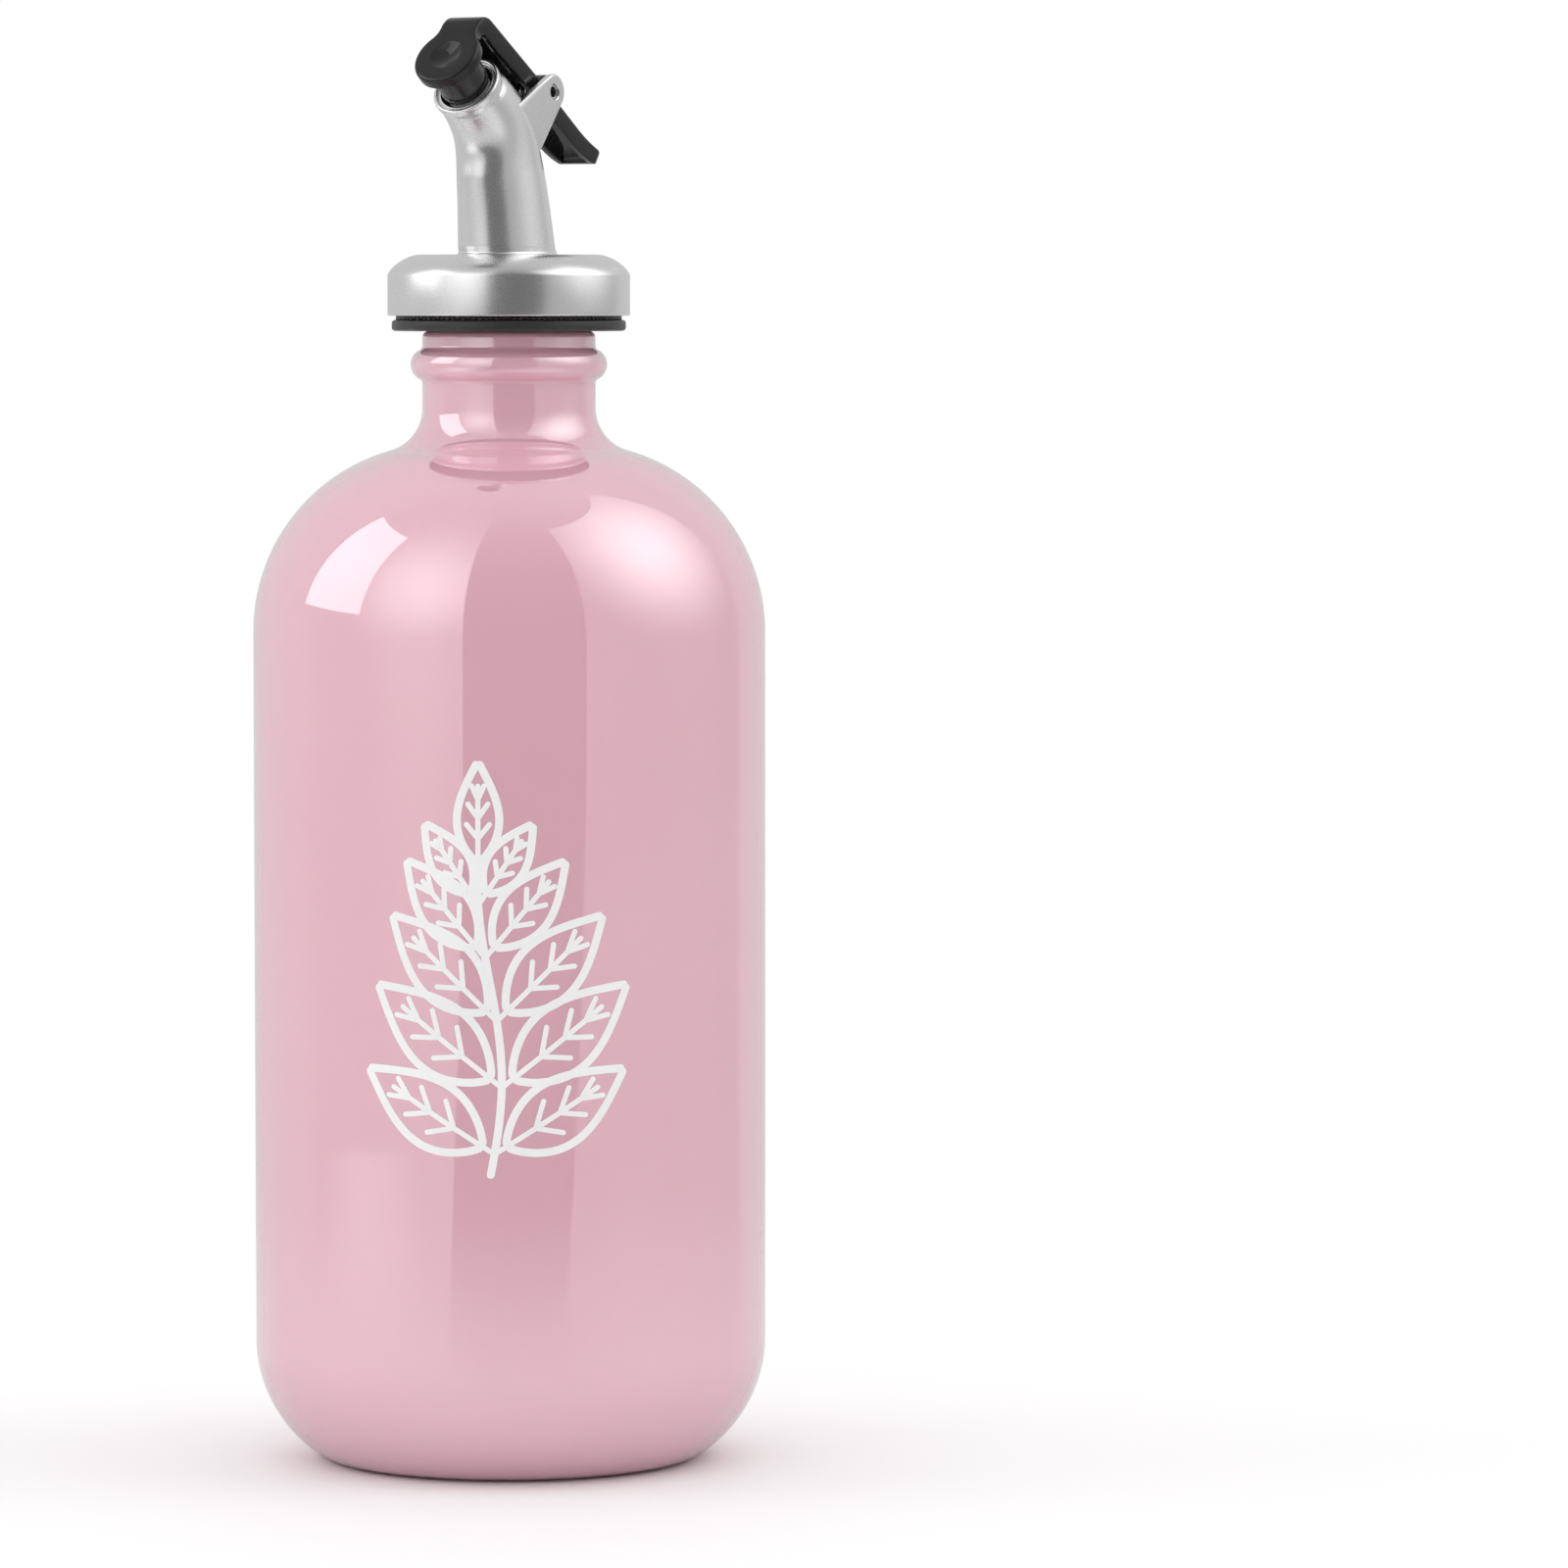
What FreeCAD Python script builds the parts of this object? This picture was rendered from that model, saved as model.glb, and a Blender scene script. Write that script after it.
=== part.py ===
import FreeCAD, Part
import math
import operator
import os
import Sketcher
from FreeCAD import Placement, Rotation, Vector

# Every size of the bottle and its lever pourer, in millimetres; tilts and leans are in degrees.
sizes = {
    # glass bottle
    "body_diameter": 75.0,
    "glass_height": 165.2,
    "glass_wall": 2.8,
    "base_thickness": 5.0,
    "punt_depth": 2.0,
    "foot_inset": 12.0,
    "foot_width": 2.5,
    "foot_radius": 6.0,
    "heel_radius": 20.0,
    "inner_heel_radius": 12.0,
    "shoulder_radius": 27.5,
    "neck_wall": 3.35,
    "neck_length": 11.2,
    "neck_fillet": 6.5,
    "bead_bulge": 1.7,
    "bead_height": 4.6,
    "bead_drop": 4.9,
    "lip_round": 1.0,
    # rubber stopper
    "flange_inset": 0.6,
    "flange_thickness": 1.6,
    "flange_round": 0.5,
    "plug_length": 20.0,
    "sleeve_wall": 1.6,
    "fin_reach": 1.8,
    "fin_height": 2.4,
    "fin_gap": 1.6,
    "fin_clearance": 0.1,
    # plastic core
    "core_rim_inset": 1.2,
    "core_rim_thickness": 0.6,
    "core_floor": 2.0,
    "core_wall": 1.6,
    "core_clearance": 0.05,
    "stem_wall": 1.2,
    "stem_flare": 1.2,
    "stem_foot_height": 1.8,
    "pour_bore": 5.4,
    "pour_offset": 1.9,
    "liner_seat_depth": 1.0,
    # air tube
    "vent_diameter": 2.6,
    "vent_bore": 1.8,
    "vent_gap": 0.4,
    "vent_rise": 1.5,
    "vent_drop": 10.0,
    # silver cap and spout
    "cap_diameter": 35.4,
    "cap_height": 8.9,
    "cap_round": 3.3,
    "cap_wall": 1.7,
    "cap_roof": 2.0,
    "spout_wall": 1.4,
    "base_room": 0.5,
    "throat_room": 1.5,
    "throat_lift": 0.2,
    "throat_shift": 0.2,
    "throat_lean": 11.0,
    "elbow_room": 0.95,
    "elbow_lean": 33.0,
    "nozzle_skin": 0.65,
    "mouth_room": 0.9,
    "mouth_height": 24.4,
    "mouth_reach": 11.2,
    "mouth_tilt": 40.0,
    "lip_band": 0.9,
    "lip_length": 1.5,
    "lip_roll": 0.6,
    # inner pour tube
    "liner_wall": 0.7,
    "liner_bend": 9.0,
    "liner_recess": 0.85,
    # ears and pin
    "pivot_setback": 4.5,
    "pivot_drop": 0.7,
    "ear_margin": 0.1,
    "ear_thickness": 1.1,
    "ear_toe_back": 5.2,
    "ear_toe_drop": 3.2,
    "ear_heel_setback": 0.4,
    "ear_heel_lift": 2.2,
    "pin_diameter": 2.3,
    "pin_recess": 0.4,
    "pin_chamfer": 0.3,
    # lever
    "lever_tilt": 34.5,
    "arm_gap": 0.9,
    "arm_cheek": 1.0,
    "arm_depth": 2.9,
    "arm_rise": 1.2,
    "arm_skin": 1.0,
    "channel_room": 0.55,
    "channel_rim": 1.6,
    "tail_length": 18.2,
    "tail_curl": 0.9,
    "curl_length": 7.5,
    "tail_depth": 2.2,
    "bend_radius": 2.8,
    "edge_round": 0.5,
    "hub_skin": 0.55,
    "hub_play": 0.2,
    "pin_play": 0.05,
    "head_inset": 0.1,
    "head_thickness": 1.8,
    "head_gap": 6.7,
    "dimple_diameter": 5.5,
    "dimple_depth": 0.4,
    # plug under the lever's head
    "stud_diameter": 3.2,
    "stud_depth": 0.9,
    "plug_step_inset": 0.7,
    "plug_step_height": 0.9,
    "plug_step_round": 0.3,
    "tip_room": 0.6,
    "tip_insertion": 0.1,
    "dome_radius": 7.0,
    # spring on the pin
    "wire_diameter": 0.45,
    "spring_play": 0.15,
    "spring_room": 0.2,
    "spring_pitch": 0.95,
    "spring_lean": 63.0,
    "spring_contact": 0.05,
    "push_leg": 9.0,
    # how far a cut runs past what it cuts
    "overrun": 2.0,
}

fin_count = 4
spring_turns = 3
waist_share = 0.63
elbow_share = 0.27
fin_root_share = 0.5
quarters_per_turn = 4

actions = {"+": operator.add, "-": operator.sub, "*": operator.mul, "/": operator.truediv}


class Length:
    # A length or angle worked out from the sheet: its value, and the expression that keeps it bound.
    def __init__(self, text, value):
        self.text = text
        self.value = value

    def __add__(self, other):
        return joined(self, "+", other)

    def __sub__(self, other):
        return joined(self, "-", other)

    def __mul__(self, other):
        return joined(self, "*", other)

    def __truediv__(self, other):
        return joined(self, "/", other)

    def __neg__(self):
        return joined(zero, "-", self)


def joined(left, sign, right):
    a = left if isinstance(left, Length) else Length(repr(left), left)
    b = right if isinstance(right, Length) else Length(repr(right), right)
    return Length("(" + a.text + " " + sign + " " + b.text + ")", actions[sign](a.value, b.value))


def root(length):
    return Length("sqrt(" + length.text + ")", math.sqrt(length.value))


def cosine(angle):
    return Length("cos(" + angle.text + ")", math.cos(math.radians(angle.value)))


def sine(angle):
    return Length("sin(" + angle.text + ")", math.sin(math.radians(angle.value)))


def tangent(angle):
    return Length("tan(" + angle.text + ")", math.tan(math.radians(angle.value)))


def square(length):
    return length * length


zero = Length("0", 0.0)
right_angle = Length("90", 90.0)

doc = FreeCAD.newDocument("mouthwash_bottle")
sheet = doc.addObject("Spreadsheet::Sheet", "Sizes")
size = {}
for row, (alias, number) in enumerate(sizes.items(), start=1):
    sheet.set("A" + str(row), alias)
    sheet.set("B" + str(row), str(number))
    sheet.setAlias("B" + str(row), alias)
    size[alias] = Length("Sizes." + alias, number)
doc.recompute()


def bind(target, path, length):
    target.setExpression(path, length.text)


def new_body(label, forward=zero, up=zero, lean=zero):
    # A sub-part whose frame lies forward of the bottle's axis, up from its base, and leans to the front.
    body = doc.addObject("PartDesign::Body", label)
    body.Label = label
    body.Placement = tilted(Vector(0, -forward.value, up.value), Vector(1, 0, 0), lean.value)
    bind(body, "Placement.Base.y", -forward)
    bind(body, "Placement.Base.z", up)
    bind(body, "Placement.Rotation.Angle", lean)
    return body


def tilted(base, axis, angle):
    return Placement(base, Rotation(axis, angle))


def new_sketch(body, name, role, shift=(zero, zero, zero), axis=Vector(0, 0, 1), angle=zero):
    # A sketch on one of the body's own origin planes, moved and turned within that plane's frame.
    sketch = body.newObject("Sketcher::SketchObject", name)
    plane = [item for item in body.Origin.OriginFeatures if item.Role == role][0]
    sketch.AttachmentSupport = [(plane, "")]
    sketch.MapMode = "FlatFace"
    base = Vector(shift[0].value, shift[1].value, shift[2].value)
    sketch.AttachmentOffset = tilted(base, axis, angle.value)
    for part, length in zip("xyz", shift):
        bind(sketch, "AttachmentOffset.Base." + part, length)
    bind(sketch, "AttachmentOffset.Rotation.Angle", angle)
    sketch.Visibility = False
    return sketch


def fix(sketch, side, end, corner):
    # Holds one end of a side at its corner's two distances from the sketch's origin.
    for kind, line, length in (("DistanceX", -2, corner[0]), ("DistanceY", -1, corner[1])):
        if length is zero:
            sketch.addConstraint(Sketcher.Constraint("PointOnObject", side, end, line))
        else:
            index = sketch.addConstraint(Sketcher.Constraint(kind, -1, 1, side, end, length.value))
            bind(sketch, "Constraints[" + str(index) + "]", length)


def arc_between(start, finish, radius, turn):
    # The arc under half a turn from start to finish, about a centre on its left (1) or right (-1).
    chord = finish - start
    left = Vector(-chord.y, chord.x, 0).normalize()
    reach = math.sqrt(max(radius * radius - chord.Length * chord.Length / 4, 0))
    centre = (start + finish) / 2 + left * reach * turn
    first, last = (start, finish) if turn > 0 else (finish, start)
    begin = math.atan2(first.y - centre.y, first.x - centre.x)
    end = math.atan2(last.y - centre.y, last.x - centre.x)
    if end < begin:
        end = end + 2 * math.pi
    return Part.ArcOfCircle(Part.Circle(centre, Vector(0, 0, 1), radius), begin, end)


def draw(sketch, corners, closed=True):
    # Each corner is (x, y), with a radius and a turn added where the side that leaves it is an arc.
    points = [Vector(corner[0].value, corner[1].value, 0) for corner in corners]
    side_count = len(corners) if closed else len(corners) - 1
    first_side = sketch.GeometryCount
    ends = []
    for index in range(side_count):
        start = points[index]
        finish = points[(index + 1) % len(corners)]
        if len(corners[index]) == 2:
            sketch.addGeometry(Part.LineSegment(start, finish))
            ends.append((1, 2))
        else:
            radius, turn = corners[index][2:]
            sketch.addGeometry(arc_between(start, finish, radius.value, turn))
            ends.append((1, 2) if turn > 0 else (2, 1))
    for index in range(side_count):
        side = first_side + index
        fix(sketch, side, ends[index][0], corners[index])
        if index + 1 < side_count or closed:
            following = (index + 1) % side_count
            meeting = (side, ends[index][1], first_side + following, ends[following][0])
            sketch.addConstraint(Sketcher.Constraint("Coincident", *meeting))
        else:
            fix(sketch, side, ends[index][1], corners[-1])
        if len(corners[index]) > 2:
            radius = corners[index][2]
            limit = sketch.addConstraint(Sketcher.Constraint("Radius", side, radius.value))
            bind(sketch, "Constraints[" + str(limit) + "]", radius)
    return sketch


def ring(sketch, x, y, radius):
    # A full circle about (x, y).
    centre = Vector(x.value, y.value, 0)
    side = sketch.addGeometry(Part.Circle(centre, Vector(0, 0, 1), radius.value))
    fix(sketch, side, 3, (x, y))
    index = sketch.addConstraint(Sketcher.Constraint("Radius", side, radius.value))
    bind(sketch, "Constraints[" + str(index) + "]", radius)
    return sketch


def revolve(body, sketch, name, kind="Revolution"):
    feature = body.newObject("PartDesign::" + kind, name)
    feature.Profile = sketch
    feature.ReferenceAxis = (sketch, ["V_Axis"])
    doc.recompute()
    return feature


def pad(body, sketch, name, length, both_ways=False, backward=False):
    feature = body.newObject("PartDesign::Pad", name)
    feature.Profile = sketch
    feature.Length = length.value
    bind(feature, "Length", length)
    feature.Midplane = both_ways
    feature.Reversed = backward
    doc.recompute()
    return feature


def pocket(body, sketch, name, length, both_ways=False, backward=False):
    feature = body.newObject("PartDesign::Pocket", name)
    feature.Profile = sketch
    feature.Length = length.value
    bind(feature, "Length", length)
    feature.Midplane = both_ways
    feature.Reversed = backward
    before = body.Shape.Volume
    doc.recompute()
    if body.Shape.Volume >= before:
        raise RuntimeError(name + " takes nothing away")
    return feature


def loft(body, sections, name, kind):
    feature = body.newObject("PartDesign::" + kind, name)
    feature.Profile = sections[0]
    feature.Sections = sections[1:]
    doc.recompute()
    return feature


def sweep(body, sketch, path, name, kind):
    feature = body.newObject("PartDesign::" + kind, name)
    feature.Profile = sketch
    feature.Spine = (path, ["Edge" + str(side + 1) for side in range(path.GeometryCount)])
    doc.recompute()
    return feature


def round_edges(body, name, radius, chosen):
    # Rounds the edges of the body that the test picks out.
    base = body.Tip
    names = ["Edge" + str(i + 1) for i, edge in enumerate(base.Shape.Edges) if chosen(edge)]
    feature = body.newObject("PartDesign::Fillet", name)
    feature.Base = (base, names)
    feature.Radius = radius.value
    bind(feature, "Radius", radius)
    doc.recompute()
    return feature


def half(name):
    return size[name] / 2


# Heights of the pourer's tiers above the bottle's base, and where the mouth and the pivot lie.
lip_top = size["glass_height"]
core_foot = lip_top + size["flange_thickness"]
cap_foot = core_foot + size["core_rim_thickness"]
cap_top = cap_foot + size["cap_height"]
cavity_radius = half("cap_diameter") - size["cap_wall"]
mouth_lean = right_angle - size["mouth_tilt"]

# The pour tube sets what lies round it: air tube, stem, stopper and neck below, spout and mouth above.
liner_radius = half("pour_bore") + size["liner_wall"]
vent_offset = liner_radius - size["pour_offset"] + size["vent_gap"] + half("vent_diameter")
stem_radius = size["pour_offset"] + half("pour_bore") + size["stem_wall"]
sleeve_radius = stem_radius + size["sleeve_wall"]
fin_radius = sleeve_radius + size["fin_reach"]
bore_radius = fin_radius + size["fin_clearance"]
neck_radius = bore_radius + size["neck_wall"]
mouth_bore = liner_radius + size["mouth_room"]
mouth_radius = mouth_bore + size["lip_band"]

# The pour tube's bend, and the two sections of the spout that follow it.
bend_ahead = size["mouth_reach"] - size["pour_offset"]
bend_corner = size["mouth_height"] - bend_ahead * tangent(size["mouth_tilt"])
bend_leg = size["liner_bend"] * tangent(mouth_lean / 2)
throat_reach = size["pour_offset"] + size["throat_shift"]
throat_height = bend_corner - bend_leg + size["throat_lift"]
elbow_along = bend_ahead / cosine(size["mouth_tilt"]) * elbow_share
elbow_reach = size["pour_offset"] + elbow_along * cosine(size["mouth_tilt"])
elbow_height = bend_corner + elbow_along * sine(size["mouth_tilt"])

# The spring on the pin sets the hub, the lever's width and the gap between the ears.
pin_radius = half("pin_diameter")
pivot_height = size["mouth_height"] - size["pivot_drop"]
room_radius = pin_radius + size["spring_play"] + size["wire_diameter"] + size["spring_room"]
hub_radius = room_radius + size["hub_skin"]
ear_radius = hub_radius + size["ear_margin"]
channel_width = size["spring_pitch"] * spring_turns + size["wire_diameter"] + size["channel_room"] * 2
arm_width = channel_width + size["arm_cheek"] * 2
ear_gap = arm_width + size["arm_gap"] * 2


def glass_outside():
    # The outer outline from the foot ring up the heel, wall, shoulder, neck and bead to the lip.
    body_radius = half("body_diameter")
    heel = size["heel_radius"]
    foot = size["foot_radius"]
    foot_ring = body_radius - size["foot_inset"]
    heel_centre = body_radius - heel
    heel_top = foot + root(square(heel - foot) - square(foot_ring - heel_centre))
    join_x = heel_centre + (foot_ring - heel_centre) * heel / (heel - foot)
    join_y = heel_top - (heel_top - foot) * heel / (heel - foot)
    shoulder = size["shoulder_radius"]
    fillet = size["neck_fillet"]
    neck = neck_radius
    neck_foot = lip_top - size["neck_length"]
    inset = body_radius - shoulder
    across = neck + fillet - inset
    shoulder_foot = neck_foot - root(square(shoulder + fillet) - square(across))
    share = shoulder / (shoulder + fillet)
    crown_x = inset + across * share
    crown_y = shoulder_foot + (neck_foot - shoulder_foot) * share
    bead_top = lip_top - size["bead_drop"] + half("bead_height")
    bead_bulge = size["bead_bulge"]
    bead_radius = (square(half("bead_height")) + square(bead_bulge)) / (bead_bulge * 2)
    bead_turn = lip_top - size["bead_drop"]
    lip = size["lip_round"]
    return [
        (foot_ring - size["foot_width"], zero),
        (foot_ring, zero, foot, 1),
        (join_x, join_y, heel, 1),
        (body_radius, heel_top),
        (body_radius, shoulder_foot, shoulder, 1),
        (crown_x, crown_y, fillet, -1),
        (neck, neck_foot),
        (neck, bead_top - size["bead_height"], bead_radius, 1),
        (neck + bead_bulge, bead_turn, bead_radius, 1),
        (neck, bead_top),
        (neck, lip_top - lip, lip, 1),
        (neck - lip, lip_top),
    ], shoulder_foot


def glass_inside(shoulder_foot):
    # The inner outline from the lip down the bore and wall to the middle of the base, then the punt.
    wall = size["glass_wall"]
    bore = bore_radius
    lip = size["lip_round"]
    inset = half("body_diameter") - size["shoulder_radius"]
    shoulder = size["shoulder_radius"] - wall
    fillet = size["neck_fillet"] + wall
    across = bore + fillet - inset
    bore_foot = shoulder_foot + root(square(shoulder + fillet) - square(across))
    share = shoulder / (shoulder + fillet)
    crown_x = inset + across * share
    crown_y = shoulder_foot + (bore_foot - shoulder_foot) * share
    room = half("body_diameter") - wall
    heel = size["inner_heel_radius"]
    floor = size["base_thickness"]
    punt = size["punt_depth"]
    punt_reach = half("body_diameter") - size["foot_inset"] - size["foot_width"]
    punt_radius = (square(punt_reach) + square(punt)) / (punt * 2)
    return [
        (bore + lip, lip_top, lip, 1),
        (bore, lip_top - lip),
        (bore, bore_foot, fillet, 1),
        (crown_x, crown_y, shoulder, -1),
        (room, shoulder_foot),
        (room, floor + heel, heel, -1),
        (room - heel, floor),
        (zero, floor),
        (zero, punt, punt_radius, -1),
    ]


def glass_bottle():
    body = new_body("glass_bottle")
    outside, shoulder_foot = glass_outside()
    outline = new_sketch(body, "glass_outline", "XZ_Plane")
    draw(outline, outside + glass_inside(shoulder_foot))
    revolve(body, outline, "glass_turned")
    return body


def stopper_sleeve():
    # A flange on the lip and a sleeve with fins, each a cone that widens upward.
    body = new_body("stopper_sleeve", up=lip_top)
    edge = half("cap_diameter") - size["flange_inset"]
    turned = size["flange_round"]
    thickness = size["flange_thickness"]
    corners = [
        (stem_radius, thickness),
        (stem_radius, -size["plug_length"]),
        (sleeve_radius, -size["plug_length"]),
    ]
    fin_step = size["fin_height"] + size["fin_gap"]
    for index in reversed(range(fin_count)):
        top = -(size["fin_gap"] + fin_step * index)
        corners.append((sleeve_radius, top - size["fin_height"]))
        corners.append((fin_radius, top - size["fin_height"] * fin_root_share))
        corners.append((fin_radius, top))
        corners.append((sleeve_radius, top))
    corners += [
        (sleeve_radius, zero),
        (edge - turned, zero, turned, 1),
        (edge, turned),
        (edge, thickness - turned, turned, 1),
        (edge - turned, thickness),
    ]
    outline = new_sketch(body, "sleeve_outline", "XZ_Plane")
    draw(outline, corners)
    revolve(body, outline, "sleeve_turned")
    return body


def pour_core():
    # A cup inside the cap, with a stem that carries the stopper and has a pour bore and an air bore.
    body = new_body("pour_core", up=core_foot)
    rim = half("cap_diameter") - size["core_rim_inset"]
    rim_top = size["core_rim_thickness"]
    spigot = cavity_radius - size["core_clearance"]
    spigot_top = rim_top + size["cap_height"] - size["cap_roof"] - size["core_clearance"]
    inside = spigot - size["core_wall"]
    stem_end = -(size["flange_thickness"] + size["plug_length"])
    outline = new_sketch(body, "core_outline", "XZ_Plane")
    draw(outline, [
        (zero, size["core_floor"]),
        (zero, stem_end - size["stem_foot_height"]),
        (stem_radius, stem_end - size["stem_foot_height"]),
        (stem_radius + size["stem_flare"], stem_end),
        (stem_radius, stem_end),
        (stem_radius, zero),
        (rim, zero),
        (rim, rim_top),
        (spigot, rim_top),
        (spigot, spigot_top),
        (inside, spigot_top),
        (inside, size["core_floor"]),
    ])
    revolve(body, outline, "core_turned")
    stem_length = size["core_floor"] - stem_end + size["stem_foot_height"] + size["overrun"]
    floor = (zero, zero, size["core_floor"])
    bore = new_sketch(body, "pour_bore", "XY_Plane", floor)
    ring(bore, zero, -size["pour_offset"], half("pour_bore"))
    pocket(body, bore, "pour_bore_cut", stem_length)
    seat = new_sketch(body, "liner_seat", "XY_Plane", floor)
    ring(seat, zero, -size["pour_offset"], liner_radius)
    pocket(body, seat, "liner_seat_cut", size["liner_seat_depth"])
    air = new_sketch(body, "air_bore", "XY_Plane", floor)
    ring(air, zero, vent_offset, half("vent_diameter"))
    pocket(body, air, "air_bore_cut", stem_length)
    return body


def vent_tube():
    top = core_foot + size["core_floor"] + size["vent_rise"]
    body = new_body("vent_tube", forward=-vent_offset, up=top)
    outline = new_sketch(body, "vent_rings", "XY_Plane")
    ring(outline, zero, zero, half("vent_diameter"))
    ring(outline, zero, zero, half("vent_bore"))
    stem_end = lip_top - size["plug_length"] - size["stem_foot_height"]
    pad(body, outline, "vent_length", top - stem_end + size["vent_drop"], backward=True)
    return body


def spout_sections(body, name, narrowing, end_radius, foot_drop):
    # Circles up the spout: base, throat, elbow and mouth, each narrowed alike but the last.
    wide = liner_radius + size["spout_wall"] - narrowing
    base_radius = wide + size["pour_offset"] + size["base_room"]
    throat_radius = wide + size["throat_room"]
    elbow_radius = wide + size["elbow_room"]
    places = [
        ("base", zero, -foot_drop, zero, base_radius),
        ("throat", throat_reach, throat_height, size["throat_lean"], throat_radius),
        ("elbow", elbow_reach, elbow_height, size["elbow_lean"], elbow_radius),
        ("mouth", size["mouth_reach"], size["mouth_height"], mouth_lean, end_radius),
    ]
    sections = []
    for place, reach, height, lean, radius in places:
        shift = (zero, -reach, height)
        section = new_sketch(body, name + "_" + place, "XY_Plane", shift, Vector(1, 0, 0), lean)
        sections.append(ring(section, zero, zero, radius))
    return sections


def spout_cap(body):
    # The cap: a turned cup, open below, with a rounded upper edge.
    edge = half("cap_diameter")
    turned = size["cap_round"]
    foot = -size["cap_height"]
    outline = new_sketch(body, "cap_outline", "XZ_Plane")
    draw(outline, [
        (zero, zero),
        (zero, -size["cap_roof"]),
        (cavity_radius, -size["cap_roof"]),
        (cavity_radius, foot),
        (edge, foot),
        (edge, -turned, turned, 1),
        (edge - turned, zero),
    ])
    revolve(body, outline, "cap_turned")


def spout_lip(body):
    # The rolled lip round the mouth, turned about the mouth's own axis.
    edge = mouth_radius
    bore = mouth_bore
    turned = size["lip_roll"]
    shift = (-size["mouth_reach"], size["mouth_height"], zero)
    outline = new_sketch(body, "lip_outline", "YZ_Plane", shift, Vector(0, 0, 1), mouth_lean)
    draw(outline, [
        (bore, -size["lip_length"]),
        (edge - turned, -size["lip_length"], turned, 1),
        (edge, turned - size["lip_length"]),
        (edge, -turned, turned, 1),
        (edge - turned, zero),
        (bore, zero),
    ])
    revolve(body, outline, "lip_turned")


def ear_corners():
    # The ear from the side: a round end about the pivot, and two edges that run to the spout.
    back = size["pivot_setback"]
    toe = (size["ear_toe_back"] - size["mouth_reach"], size["mouth_height"] - size["ear_toe_drop"])
    heel = (size["ear_heel_setback"], throat_height + size["ear_heel_lift"])
    top = touching_point(back, pivot_height, ear_radius, toe, 1)
    low = touching_point(back, pivot_height, ear_radius, heel, -1)
    far_x = back + ear_radius * cosine(size["elbow_lean"])
    far_y = pivot_height + ear_radius * sine(size["elbow_lean"])
    return [
        toe,
        (-elbow_reach, heel[1]),
        heel,
        (low[0], low[1], ear_radius, 1),
        (far_x, far_y, ear_radius, 1),
        top,
    ]


def touching_point(x, y, radius, point, turn):
    # Where the line from a point touches a circle about (x, y), on the side the turn gives.
    run = point[0] - x
    rise = point[1] - y
    far = square(run) + square(rise)
    along = square(radius) / far
    across = radius * root(far - square(radius)) / far
    if turn > 0:
        return (x + run * along + rise * across, y + rise * along - run * across)
    return (x + run * along - rise * across, y + rise * along + run * across)


def spout_shell():
    body = new_body("spout_shell", up=cap_top)
    spout_cap(body)
    nozzle_radius = mouth_bore + size["nozzle_skin"]
    outer = spout_sections(body, "spout", zero, nozzle_radius, size["cap_roof"] / 2)
    loft(body, outer, "spout_loft", "AdditiveLoft")
    spout_lip(body)
    ear = new_sketch(body, "ear_outline", "YZ_Plane", (zero, zero, ear_gap / 2))
    draw(ear, ear_corners())
    one_ear = pad(body, ear, "ear", size["ear_thickness"])
    other_ear = body.newObject("PartDesign::Mirrored", "other_ear")
    other_ear.Originals = [one_ear]
    plane = [item for item in body.Origin.OriginFeatures if item.Role == "YZ_Plane"][0]
    other_ear.MirrorPlane = (plane, [""])
    body.Tip = other_ear
    doc.recompute()
    inner = spout_sections(body, "way", size["spout_wall"], mouth_bore, size["cap_roof"] + size["overrun"])
    loft(body, inner, "way_loft", "SubtractiveLoft")
    hole = new_sketch(body, "pin_holes", "YZ_Plane")
    ring(hole, size["pivot_setback"], pivot_height, pin_radius)
    across = ear_gap + (size["ear_thickness"] + size["overrun"]) * 2
    pocket(body, hole, "pin_holes_cut", across, both_ways=True)
    return body


def spout_liner():
    # The inner pour tube: upright from the core, one bend, then straight along the mouth's axis.
    body = new_body("spout_liner", up=cap_top)
    foot = core_foot + size["core_floor"] - size["liner_seat_depth"] - cap_top
    forward = size["pour_offset"]
    tilt = size["mouth_tilt"]
    end_x = size["mouth_reach"] - size["liner_recess"] * cosine(tilt)
    end_y = size["mouth_height"] - size["liner_recess"] * sine(tilt)
    path = new_sketch(body, "liner_path", "YZ_Plane")
    draw(path, [
        (-forward, foot),
        (-forward, bend_corner - bend_leg, size["liner_bend"], 1),
        (-(forward + bend_leg * cosine(tilt)), bend_corner + bend_leg * sine(tilt)),
        (-end_x, end_y),
    ], closed=False)
    outline = new_sketch(body, "liner_rings", "XY_Plane", (zero, zero, foot))
    ring(outline, zero, -forward, liner_radius)
    ring(outline, zero, -forward, half("pour_bore"))
    sweep(body, outline, path, "liner_sweep", "AdditivePipe")
    return body


def hinge_pin():
    body = new_body("hinge_pin", forward=-size["pivot_setback"], up=cap_top + pivot_height)
    reach = ear_gap / 2 + size["ear_thickness"] - size["pin_recess"]
    chamfer = size["pin_chamfer"]
    outline = new_sketch(body, "pin_outline", "XY_Plane", angle=-right_angle)
    draw(outline, [
        (zero, -reach),
        (pin_radius - chamfer, -reach),
        (pin_radius, chamfer - reach),
        (pin_radius, reach - chamfer),
        (pin_radius - chamfer, reach),
        (zero, reach),
    ])
    revolve(body, outline, "pin_turned")
    return body


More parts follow.
